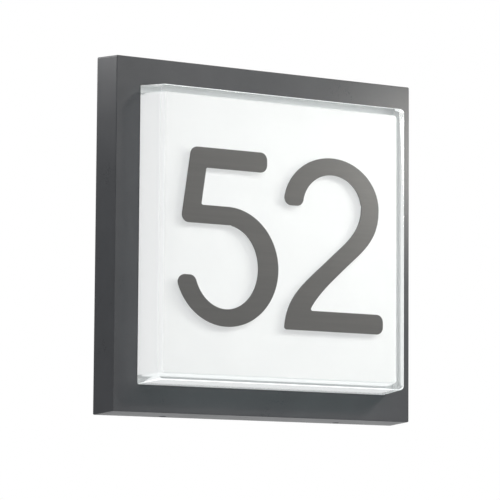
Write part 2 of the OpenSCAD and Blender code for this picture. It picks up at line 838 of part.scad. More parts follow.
// Flat strip over the flange's edge with a turned-up end for stiffness
module glass_clamps() color("silver") {
    inner = flange_half - clamp_bite;
    outer = clamp_boss_half + clamp_boss_r;
    clamp_places() difference() {
        union() {
            translate([-clamp_w/2, -clamp_front_d, inner]) cube([clamp_w, clamp_t, outer - inner]);
            translate([-clamp_w/2, -clamp_front_d, inner]) cube([clamp_w, clamp_turned, clamp_t]);
        }
        at(0, clamp_boss_half, clamp_back_d - cut) cylinder(h = clamp_t + 2*cut, r = clamp_hole_r + 0.2);
    }
}

module clamp_pads() color("dimgray") {
    pad_l = clamp_bite - 0.5;
    clamp_places() translate([-clamp_w/2 + 1, -flange_back_d, flange_half - clamp_bite]) {
        cube([clamp_w - 2, pad_t, pad_l]);
    }
}

module clamp_screws() color("silver") {
    clamp_places() at(0, clamp_boss_half, clamp_back_d) rotate([180, 0, 0]) {
        pan_screw(clamp_hole_r, clamp_screw_l, clamp_head);
    }
}

// Points of a cubic curve with two handles
function curve(a, b, c, d, n) = [for (i = [0:n])
    let (t = i/n, u = 1 - t) u*u*u*a + 3*u*u*t*b + 3*u*t*t*c + t*t*t*d];

module ellipse(rx, ry) {
    scale([rx/ry, 1]) circle(ry, $fn = 96);
}

// Rounds the outer corners by one radius and the inner ones by another
module soft_corners(r, inner_r) {
    offset(r = -inner_r, $fn = 48) offset(r = r + inner_r, $fn = 48) offset(delta = -r) children();
}

// The digits stand on the drawing's X axis, with their left edges at its origin
module five_outline() {
    bowl_r = digit_w/2;
    bowl_z = bowl_r - overshoot;
    mid_top = bowl_z + bowl_r;
    mid_foot = mid_top - bowl_top_t;
    lean = 0.149;
    foot_x = 5;
    head_x = foot_x + lean*(digit_h - mid_foot);
    tail_top = bowl_z - bar_t/2;
    bar_end = digit_w - 11.8;
    polygon([[foot_x, mid_foot], [head_x, digit_h], [head_x + bar_t, digit_h],
        [foot_x + bar_t, mid_foot]]);
    translate([head_x, digit_h - bar_t]) square([bar_end - head_x, bar_t]);
    translate([foot_x + bar_t/2, mid_foot]) square([bowl_r - foot_x - bar_t/2, bowl_top_t]);
    difference() {
        translate([bowl_r, bowl_z]) circle(bowl_r, $fn = 96);
        translate([bowl_r - bowl_shift, bowl_z - (bowl_top_t - bowl_foot_t)/2]) {
            ellipse(bowl_r - stroke_t - bowl_shift/2, bowl_r - (bowl_top_t + bowl_foot_t)/2);
        }
        translate([-1, tail_top]) square([bowl_r + 1, mid_top]);
    }
}

module two_outline() {
    bowl_rx = digit_w/2 - 2;
    bowl_rz = 0.284*digit_h;
    bowl_x = bowl_rx - overshoot;
    bowl_z = digit_h + overshoot - bowl_rz;
    right = bowl_x + bowl_rx;
    inner = right - stroke_t + 0.5;
    slope = [cos(41.5), sin(41.5)];
    outer_mid = [0.6*digit_w, 0.365*digit_h];
    inner_mid = outer_mid + (bar_t - 1)*[-slope[1], slope[0]];
    neck_x = 1.5*bar_t;
    neck_z = bar_t + 13;
    // Handle lengths of the curves, as [inner edge, outer edge]
    side_pull = [0.135, 0.18]*digit_h;
    upper_pull = [0.08, 0.162]*digit_h;
    lower_pull = [0.27, 0.1]*digit_h;
    difference() {
        translate([bowl_x, bowl_z]) ellipse(bowl_rx, bowl_rz);
        translate([bowl_x + overshoot/2, bowl_z]) {
            ellipse(bowl_rx - stroke_t, bowl_rz - bowl_foot_t);
        }
        translate([-2, 0]) square([bowl_x + 2, bowl_z - 1.2]);
        translate([bowl_x - 1, 0]) square([2*bowl_rx, bowl_z]);
    }
    polygon(concat(
        curve([right, bowl_z], [right, bowl_z - side_pull[1]],
            outer_mid + upper_pull[1]*slope, outer_mid, 12),
        curve(outer_mid, outer_mid - lower_pull[1]*slope, [neck_x + 6.5, neck_z], [neck_x, bar_t], 10),
        [[neck_x, 0], [0, 0]],
        curve([0, 0], [2, neck_z], inner_mid - lower_pull[0]*slope, inner_mid, 14),
        curve(inner_mid, inner_mid + upper_pull[0]*slope,
            [inner, bowl_z - side_pull[0]], [inner, bowl_z], 12)));
    translate([bar_t/2, 0]) square([digit_w - bar_t/2, bar_t]);
}

module five_shape() {
    soft_corners(digit_corner_r, digit_inner_r) five_outline();
}

// The two keeps a crisper corner at its lower left
module two_shape() {
    crisp_r = 2.4;
    soft_corners(digit_corner_r, digit_inner_r) two_outline();
    soft_corners(crisp_r, 1) intersection() {
        two_outline();
        square([bar_t, bar_t/2]);
    }
}

module place_five() {
    translate([number_x - digit_gap/2 - digit_w, number_z - digit_h/2]) children();
}

module place_two() {
    translate([number_x + digit_gap/2, number_z - digit_h/2]) children();
}

module digit_tapes() color("white") slab(glass_front_d, tape_t) {
    tape_in = 1.5;
    place_five() offset(delta = -tape_in) five_shape();
    place_two() offset(delta = -tape_in) two_shape();
}

module digit_five() color([0.42, 0.42, 0.4]) slab(glass_front_d + tape_t, digit_t) {
    place_five() five_shape();
}

module digit_two() color([0.42, 0.42, 0.4]) slab(glass_front_d + tape_t, digit_t) {
    place_two() two_shape();
}

// Set screw with a hexagon socket below and a bevelled tip above
module lock_screw(side) {
    bevel = 0.8;
    translate([side*lock_pitch/2, -lock_d, -lock_face + lock_recess]) difference() {
        union() {
            cylinder(h = lock_l - bevel, r = lock_r);
            translate([0, 0, lock_l - bevel]) cylinder(h = bevel, r1 = lock_r, r2 = lock_r - bevel);
        }
        translate([0, 0, -cut]) cylinder(h = lock_socket_l + cut, r = lock_socket_r, $fn = 6);
    }
}

module lock_screw_left() color("silver") lock_screw(-1);

module lock_screw_right() color("silver") lock_screw(1);

base_pan();
pan_rim();
pan_posts();
cable_grommet();
terminal_block();
terminal_screws();
terminal_fixing_screw();
earth_screw();
earth_lug();
live_lead();
neutral_lead();
earth_lead();
driver_case();
driver_lid();
driver_terminals();
driver_screws();
reflector_tray();
tray_screws();
tray_grommet();
lamp_board();
light_chips();
board_connector();
board_screws();
lamp_lead_red();
lamp_lead_black();
cover_frame();
glass_dish();
opal_layer();
glass_seal();
glass_clamps();
clamp_pads();
clamp_screws();
digit_tapes();
digit_five();
digit_two();
lock_screw_left();
lock_screw_right();
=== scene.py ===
"""Looks for an outdoor wall light with a lit house number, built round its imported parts.

Sizes in the classes are millimetres, and meshes are in metres. X runs to the
viewer's right, Z runs up, the wall is the plane Y = 0 and the viewer is at -Y.
"""

import sys

import logging
import math
from collections.abc import Mapping
from dataclasses import dataclass, replace
from enum import Enum, IntEnum
from functools import cache
from typing import ClassVar

import bmesh
import bpy
from mathutils import Matrix, Vector


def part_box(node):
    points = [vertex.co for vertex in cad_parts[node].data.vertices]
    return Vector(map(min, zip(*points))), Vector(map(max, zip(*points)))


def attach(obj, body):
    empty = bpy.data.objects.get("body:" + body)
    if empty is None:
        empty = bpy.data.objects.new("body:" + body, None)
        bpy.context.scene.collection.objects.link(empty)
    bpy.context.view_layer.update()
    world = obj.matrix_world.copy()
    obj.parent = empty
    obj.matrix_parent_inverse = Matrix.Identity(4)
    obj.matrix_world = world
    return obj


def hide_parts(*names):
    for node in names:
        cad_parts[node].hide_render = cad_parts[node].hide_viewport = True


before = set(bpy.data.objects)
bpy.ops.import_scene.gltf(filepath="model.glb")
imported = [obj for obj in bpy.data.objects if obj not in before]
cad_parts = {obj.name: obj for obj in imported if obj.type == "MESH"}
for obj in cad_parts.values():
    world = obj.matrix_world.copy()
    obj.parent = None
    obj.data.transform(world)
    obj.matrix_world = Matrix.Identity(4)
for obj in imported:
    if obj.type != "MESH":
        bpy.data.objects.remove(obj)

MM = 0.001
LOG = logging.getLogger("wall_light")

Colour = tuple[float, float, float]
Place = tuple[float, float, float]
Ring = list[bmesh.types.BMVert]
Route = list[Place]
Socket = bpy.types.NodeSocket
Inputs = Mapping[str, object] | Mapping[int, object]


class Grain(Enum):
    """The kinds of fine surface that the finishes choose from."""

    POWDER = "powder"
    BRUSHED = "brushed"
    CAST = "cast"
    MOULDED = "moulded"
    ROLLED = "rolled"


class Body(Enum):
    """The moving bodies that pieces ride on."""

    BASE = "base"
    COVER = "cover"
    LEFT_LOCK = "left_lock"
    RIGHT_LOCK = "right_lock"


# Node sheets and shared effects


class NodeSheet:
    """Short calls for the nodes of a material, a world or a shader group."""

    def __init__(self, tree: bpy.types.NodeTree) -> None:
        """Keeps the tree that the calls add nodes to.

        Args:
            tree: the node tree of a material, a world or a group.
        """
        self.tree = tree

    def add(self, kind: str, settings: Mapping[str, object] | None = None,
            inputs: Inputs | None = None) -> bpy.types.Node:
        """Adds a node, sets its options and fills or links its inputs.

        Args:
            kind: Blender's name of the node type.
            settings: values of the node's own options.
            inputs: numbers, colours or output sockets by input name or index.

        Returns:
            The new node.
        """
        node = self.tree.nodes.new(kind)
        for key, value in (settings or {}).items():
            setattr(node, key, value)
        for key, value in (inputs or {}).items():
            self.feed(node.inputs[key], value)
        return node

    def feed(self, socket: Socket, value: object) -> None:
        """Links an output to a socket, or sets the socket's own value.

        Args:
            socket: the input that is fed.
            value: an output socket, a number or a colour.
        """
        if isinstance(value, Socket):
            self.tree.links.new(value, socket)
        else:
            socket.default_value = value

    def effect(self, group: bpy.types.NodeTree, inputs: Mapping[str, float]) -> bpy.types.Node:
        """Places a shared effect.

        Args:
            group: the effect's shader group.
            inputs: the effect's values, by name.

        Returns:
            The group's node.
        """
        return self.add("ShaderNodeGroup", {"node_tree": group}, inputs)

    def math(self, operation: str, *values: object) -> Socket:
        """One step of arithmetic.

        Args:
            operation: Blender's name of the operation.
            values: the operands, as numbers or sockets.

        Returns:
            The result's socket.
        """
        node = self.add("ShaderNodeMath", {"operation": operation})
        for socket, value in zip(node.inputs, values):
            self.feed(socket, value)
        return node.outputs[0]

    def weigh(self, first: tuple[object, object], second: tuple[object, object]) -> Socket:
        """Adds two values, each times its weight.

        Args:
            first: a value and its weight, as numbers or sockets.
            second: the other value and its weight.

        Returns:
            The sum's socket.
        """
        return self.math("ADD", self.math("MULTIPLY", *first), self.math("MULTIPLY", *second))

    def noise(self, place: object, scale: object, detail: float = 3.0, roughness: float = 0.5) -> Socket:
        """Smooth noise between 0 and 1.

        Args:
            place: where the noise is read.
            scale: lumps for each metre.
            detail: number of finer layers.
            roughness: strength of the finer layers.

        Returns:
            The noise value's socket.
        """
        inputs = {"Vector": place, "Scale": scale, "Detail": detail, "Roughness": roughness}
        return self.add("ShaderNodeTexNoise", None, inputs).outputs[0]

    def stretch(self, place: object, scale: tuple[float, float, float]) -> Socket:
        """Stretches the place that a texture is read at, for long marks.

        Args:
            place: where the texture is read.
            scale: factor along each axis, below 1 for long marks.

        Returns:
            The stretched place's socket.
        """
        return self.add("ShaderNodeMapping", None, {"Vector": place, "Scale": scale}).outputs[0]

    def spread(self, value: object, low: object, high: object, to_low: object = 0.0,
               to_high: object = 1.0) -> Socket:
        """Maps one span of values onto another and stops at its ends.

        Args:
            value: the number that is mapped.
            low: start of the span that is read.
            high: end of the span that is read.
            to_low: result at the start.
            to_high: result at the end.

        Returns:
            The result's socket.
        """
        inputs = {0: value, 1: low, 2: high, 3: to_low, 4: to_high}
        return self.add("ShaderNodeMapRange", {"clamp": True}, inputs).outputs[0]

    def mix(self, share: object, first: object, second: object) -> Socket:
        """Mixes two colours.

        Args:
            share: how much of the second colour there is.
            first: the colour at 0.
            second: the colour at 1.

        Returns:
            The mixed colour's socket.
        """
        node = self.add("ShaderNodeMix", {"data_type": "RGBA"})
        for index, value in ((0, share), (6, first), (7, second)):
            self.feed(node.inputs[index], value)
        return node.outputs[2]

    def object_place(self) -> Socket:
        """The place on the object, in metres."""
        return self.add("ShaderNodeTexCoord").outputs["Object"]

    def bump(self, height: object, depth: float, strength: float = 1.0) -> Socket:
        """Turns a height into the direction of the surface.

        Args:
            height: height between 0 and 1.
            depth: how deep the height goes, in millimetres.
            strength: share of the relief that shows.

        Returns:
            The normal's socket.
        """
        inputs = {"Height": height, "Distance": depth * MM, "Strength": strength}
        return self.add("ShaderNodeBump", None, inputs).outputs[0]


class SharedEffects:
    """Shader groups that several finishes use, each built once."""

    def __init__(self) -> None:
        """Builds every group."""
        self.grain = {
            Grain.POWDER: self._powder(),
            Grain.BRUSHED: self._brushed(),
            Grain.CAST: self._cast(),
            Grain.MOULDED: self._moulded(),
            Grain.ROLLED: self._rolled(),
        }
        self.edge_wear = self._edge_wear()
        self.dust = self._dust()
        self.recess = self._recess()

    @staticmethod
    def _open(name: str, inputs: dict[str, float],
              outputs: list[str]) -> tuple[NodeSheet, bpy.types.Node, bpy.types.Node]:
        """Starts a group with named number inputs and outputs.

        Args:
            name: name of the group.
            inputs: each input's name and usual value.
            outputs: each output's name.

        Returns:
            The sheet, the group's input node and its output node.
        """
        tree = bpy.data.node_groups.new(name, "ShaderNodeTree")
        for key, value in inputs.items():
            socket = tree.interface.new_socket(key, in_out="INPUT", socket_type="NodeSocketFloat")
            socket.default_value = value
        for key in outputs:
            tree.interface.new_socket(key, in_out="OUTPUT", socket_type="NodeSocketFloat")
        sheet = NodeSheet(tree)
        return sheet, sheet.add("NodeGroupInput"), sheet.add("NodeGroupOutput")

    def _grain(self, name: str) -> tuple[NodeSheet, Socket, Socket, bpy.types.Node]:
        """Starts a grain group, which takes a size and puts out a height and a tone.

        Args:
            name: name of the group.

        Returns:
            The sheet, the lumps for each metre, the place and the output node.
        """
        sheet, given, out = self._open(name, {"Size": 1.0}, ["Height", "Tone"])
        lumps = sheet.math("DIVIDE", 1.0 / MM, given.outputs["Size"])
        return sheet, lumps, sheet.object_place(), out

    @staticmethod
    def _close(sheet: NodeSheet, out: bpy.types.Node, height: Socket, tone: Socket) -> bpy.types.NodeTree:
        """Ends a grain group.

        Args:
            sheet: the group's sheet.
            out: its output node.
            height: the grain's height.
            tone: the grain's tone, from the dark colour at 0 to the light one at 1.

        Returns:
            The group.
        """
        sheet.feed(out.inputs["Height"], height)
        sheet.feed(out.inputs["Tone"], tone)
        return sheet.tree

    def _powder(self) -> bpy.types.NodeTree:
        """Fine, softly pebbled powder coat, with slow changes of tone.

        Returns:
            The group.
        """
        sheet, lumps, place, out = self._grain("powder_coat_skin")
        fine = sheet.noise(place, lumps, detail=2.0)
        inputs = {"Vector": place, "Scale": lumps, "Smoothness": 0.6}
        pebbles = sheet.add("ShaderNodeTexVoronoi", {"feature": "SMOOTH_F1"}, inputs).outputs["Distance"]
        slow = sheet.noise(place, 22.0, detail=4.0, roughness=0.6)
        tone = sheet.spread(sheet.weigh((slow, 0.75), (fine, 0.25)), 0.35, 0.65)
        return self._close(sheet, out, sheet.weigh((fine, 0.6), (pebbles, 0.9)), tone)

    def _brushed(self) -> bpy.types.NodeTree:
        """Long fine brush lines that run level.

        Returns:
            The group.
        """
        sheet, lumps, place, out = self._grain("brushed_lines")
        level = sheet.stretch(place, (0.035, 1.0, 1.0))
        lines = sheet.noise(level, lumps, detail=4.0, roughness=0.65)
        wide = sheet.noise(level, sheet.math("MULTIPLY", lumps, 0.16))
        tone = sheet.spread(sheet.weigh((lines, 0.45), (wide, 0.55)), 0.36, 0.64)
        return self._close(sheet, out, lines, tone)

    def _cast(self) -> bpy.types.NodeTree:
        """Die-cast skin: flow marks with small pits.

        Returns:
            The group.
        """
        sheet, lumps, place, out = self._grain("die_cast_skin")
        flow = sheet.noise(place, sheet.math("MULTIPLY", lumps, 0.12), detail=5.0, roughness=0.62)
        cells = sheet.add("ShaderNodeTexVoronoi", None, {"Vector": place, "Scale": lumps})
        pits = sheet.spread(cells.outputs["Distance"], 0.08, 0.3)
        return self._close(sheet, out, sheet.weigh((flow, 0.5), (pits, 0.5)), sheet.spread(flow, 0.32, 0.68))

    def _moulded(self) -> bpy.types.NodeTree:
        """Spark-eroded texture of a moulded plastic or rubber part.

        Returns:
            The group.
        """
        sheet, lumps, place, out = self._grain("moulded_texture")
        spark = sheet.noise(place, lumps, roughness=0.7)
        slow = sheet.noise(place, 30.0)
        tone = sheet.spread(sheet.weigh((slow, 0.7), (spark, 0.3)), 0.35, 0.65)
        return self._close(sheet, out, sheet.spread(spark, 0.3, 0.7), tone)

    def _rolled(self) -> bpy.types.NodeTree:
        """Plated or rolled metal: faint lines and soft cloudy stains.

        Returns:
            The group.
        """
        sheet, lumps, place, out = self._grain("rolled_metal")
        lines = sheet.noise(sheet.stretch(place, (0.2, 0.2, 1.0)), lumps)
        clouds = sheet.noise(place, sheet.math("MULTIPLY", lumps, 0.2), detail=4.0, roughness=0.6)
        return self._close(sheet, out, lines, sheet.spread(clouds, 0.3, 0.7))

    def _edge_wear(self) -> bpy.types.NodeTree:
        """Mask that is 1 on outer edges, broken up where a coat rubs through.

        Returns:
            The group.
        """
        sheet, given, out = self._open("edge_wear", {"Width": 0.5, "Amount": 0.2}, ["Mask"])
        radius = sheet.math("MULTIPLY", given.outputs["Width"], MM)
        soft = sheet.add("ShaderNodeBevel", {"samples": 4}, {"Radius": radius}).outputs[0]
        sharp = sheet.add("ShaderNodeNewGeometry").outputs["Normal"]
        aligned = sheet.add("ShaderNodeVectorMath", {"operation": "DOT_PRODUCT"}, {0: soft, 1: sharp})
        edge = sheet.spread(aligned.outputs["Value"], 0.99, 0.8)
        rubbed = sheet.noise(sheet.object_place(), 320.0, detail=4.0, roughness=0.65)
        patches = sheet.spread(rubbed, 0.42, 0.6)
        worn = sheet.math("MULTIPLY", edge, patches)
        sheet.feed(out.inputs["Mask"], sheet.math("MULTIPLY", worn, given.outputs["Amount"]))
        return sheet.tree

    def _dust(self) -> bpy.types.NodeTree:
        """Mask of thin dust that settles on what faces up.

        Returns:
            The group.
        """
        sheet, given, out = self._open("settled_dust", {"Amount": 0.1}, ["Mask"])
        normal = sheet.add("ShaderNodeNewGeometry").outputs["Normal"]
        upward = sheet.add("ShaderNodeSeparateXYZ", None, {0: normal}).outputs["Z"]
        lying = sheet.spread(upward, 0.2, 1.0)
        place = sheet.object_place()
        clouds = sheet.noise(place, 45.0, detail=5.0, roughness=0.65)
        cloud = sheet.spread(clouds, 0.35, 0.7, to_low=0.15)
        specks = sheet.spread(sheet.noise(place, 900.0, detail=2.0), 0.62, 0.72, to_high=0.6)
        settled = sheet.weigh((lying, cloud), (specks, 0.12))
        sheet.feed(out.inputs["Mask"], sheet.math("MULTIPLY", settled, given.outputs["Amount"]))
        return sheet.tree

    def _recess(self) -> bpy.types.NodeTree:
        """Mask of painted shade that darkens holes and inner corners, read from ambient occlusion.

        Returns:
            The group.
        """
        sheet, given, out = self._open("painted_recess_shade", {"Reach": 4.0, "Amount": 0.5}, ["Mask"])
        reach = sheet.math("MULTIPLY", given.outputs["Reach"], MM)
        around = sheet.add("ShaderNodeAmbientOcclusion", {"samples": 8}, {"Distance": reach})
        closed = sheet.spread(around.outputs["AO"], 0.85, 0.35)
        sheet.feed(out.inputs["Mask"], sheet.math("MULTIPLY", closed, given.outputs["Amount"]))
        return sheet.tree


EFFECTS = SharedEffects()


# Finishes


@dataclass(frozen=True)
class SurfaceFinish:
    """A solid finish: its colours, gloss and fine surface.

    The grain's size and depth and the width of the worn edges are millimetres.
    """

    name: str
    dark: Colour
    light: Colour
    grain: Grain = Grain.MOULDED
    grain_size: float = 1.0
    grain_depth: float = 0.02
    roughness: tuple[float, float] = (0.4, 0.5)
    metallic: float = 0.0
    worn: Colour = (0.6, 0.6, 0.6)
    wear: float = 0.1
    wear_width: float = 0.4
    dust: float = 0.1
    specular: float = 0.5
    coat: float = 0.0
    coat_roughness: float = 0.2
    sheen: float = 0.0
    glow: float = 0.0
    scatter: float = 0.0
    # How strongly holes and inner corners are darkened: painted shade.
    recess_shade: float = 0.0

    DUST_COLOUR: ClassVar[Colour] = (0.42, 0.4, 0.37)
    # Colour of the painted shade in recesses.
    RECESS_SHADE_COLOUR: ClassVar[Colour] = (0.008, 0.008, 0.008)
    DUST_ROUGHNESS: ClassVar[float] = 0.5

    def _colour(self, sheet: NodeSheet, tone: Socket, dust: Socket) -> Socket:
        """Mixes the colours of the coat, the worn edges, the dust and the painted shade in recesses.

        Args:
            sheet: the material's sheet.
            tone: the grain's tone.
            dust: mask of the dust.

        Returns:
            The colour's socket.
        """
        wear = sheet.effect(EFFECTS.edge_wear, {"Width": self.wear_width, "Amount": self.wear})
        colour = sheet.mix(tone, (*self.dark, 1.0), (*self.light, 1.0))
        colour = sheet.mix(wear.outputs["Mask"], colour, (*self.worn, 1.0))
        colour = sheet.mix(dust, colour, (*self.DUST_COLOUR, 1.0))
        # Painted shade: holes and inner corners are darkened towards near black by ambient occlusion.
        if self.recess_shade:
            recess = sheet.effect(EFFECTS.recess, {"Amount": self.recess_shade})
            colour = sheet.mix(recess.outputs["Mask"], colour, (*self.RECESS_SHADE_COLOUR, 1.0))
        return colour

    def _constants(self) -> dict[str, object]:
        """The values that are the same all over the surface, by the shader's own names.

        Returns:
            The values.
        """
        values = {
            "Metallic": self.metallic,
            "Specular IOR Level": self.specular,
            "Coat Weight": self.coat,
            "Coat Roughness": self.coat_roughness,
            "Sheen Weight": self.sheen,
            "Subsurface Weight": self.scatter,
        }
        if self.glow:
            values["Emission Color"] = (*(part / max(self.light) for part in self.light), 1.0)
            values["Emission Strength"] = self.glow
        return values

    @cache
    def build(self) -> bpy.types.Material:
        """Makes the finish's material at the first call, and finds it at later ones.

        Returns:
            The material.
        """
        material = bpy.data.materials.new(f"{self.name}_finish")
        material.use_nodes = True
        sheet = NodeSheet(material.node_tree)
        shader = material.node_tree.nodes["Principled BSDF"]
        grain = sheet.effect(EFFECTS.grain[self.grain], {"Size": self.grain_size})
        dust = sheet.effect(EFFECTS.dust, {"Amount": self.dust}).outputs["Mask"]
        tone = grain.outputs["Tone"]
        gloss = sheet.spread(tone, 0.0, 1.0, *self.roughness)
        dusty = sheet.math("ADD", gloss, sheet.math("MULTIPLY", dust, self.DUST_ROUGHNESS))
        sheet.feed(shader.inputs["Base Color"], self._colour(sheet, tone, dust))
        sheet.feed(shader.inputs["Roughness"], dusty)
        sheet.feed(shader.inputs["Normal"], sheet.bump(grain.outputs["Height"], self.grain_depth))
        for key, value in self._constants().items():
            sheet.feed(shader.inputs[key], value)
        return material


@dataclass(frozen=True)
class ClearGlass:
    """Clear polished glass that casts a soft shadow.

    Light loses more on its way through the sides than through the front. The
    ripple's depth is millimetres and its scale is lumps for each metre.
    """

    name: str
    tint: Colour = (0.993, 0.994, 0.994)
    roughness: float = 0.0
    ior: float = 1.5
    front_shadow: Colour = (0.93, 0.97, 0.96)
    side_shadow: Colour = (0.3, 0.31, 0.325)
    side_slope: tuple[float, float] = (0.4, 0.8)
    depth_tint: Colour = (0.82, 0.93, 0.92)
    density: float = 4.0
    ripple_scale: float = 16.0
    ripple_depth: float = 0.02
    ripple_strength: float = 0.5
    glow: float = 0.0

    def _shadow(self, sheet: NodeSheet) -> Socket:
        """The light that gets through to a shadow behind the glass.

        Args:
            sheet: the material's sheet.

        Returns:
            The shader's socket.
        """
        normal = sheet.add("ShaderNodeNewGeometry").outputs["True Normal"]
        facing = sheet.add("ShaderNodeSeparateXYZ", None, {0: normal}).outputs["Y"]
        ahead = sheet.spread(sheet.math("ABSOLUTE", facing), *self.side_slope)
        shade = sheet.mix(ahead, (*self.side_shadow, 1.0), (*self.front_shadow, 1.0))
        return sheet.add("ShaderNodeBsdfTransparent", None, {"Color": shade}).outputs[0]

    @cache
    def build(self) -> bpy.types.Material:
        """Makes the glass material at the first call, and finds it at later ones.

        Returns:
            The material.
        """
        material = bpy.data.materials.new(f"{self.name}_finish")
        material.use_nodes = True
        sheet = NodeSheet(material.node_tree)
        shader = material.node_tree.nodes["Principled BSDF"]
        constants = {
            "Base Color": (*self.tint, 1.0),
            "Roughness": self.roughness,
            "IOR": self.ior,
            "Metallic": 0.0,
            "Transmission Weight": 1.0,
            "Emission Color": (1.0, 1.0, 1.0, 1.0),
            "Emission Strength": self.glow,
        }
        for key, value in constants.items():
            sheet.feed(shader.inputs[key], value)
        ripple = sheet.noise(sheet.object_place(), self.ripple_scale, detail=2.0)
        sheet.feed(shader.inputs["Normal"], sheet.bump(ripple, self.ripple_depth, self.ripple_strength))
        path = sheet.add("ShaderNodeLightPath").outputs["Is Shadow Ray"]
        inputs = {0: path, 1: shader.outputs[0], 2: self._shadow(sheet)}
        mixed = sheet.add("ShaderNodeMixShader", None, inputs)
        inputs = {"Color": (*self.depth_tint, 1.0), "Density": self.density}
        depth = sheet.add("ShaderNodeVolumeAbsorption", None, inputs)
        output = material.node_tree.nodes["Material Output"]
        sheet.feed(output.inputs["Surface"], mixed.outputs[0])
        sheet.feed(output.inputs["Volume"], depth.outputs[0])
        return material


Finish = SurfaceFinish | ClearGlass


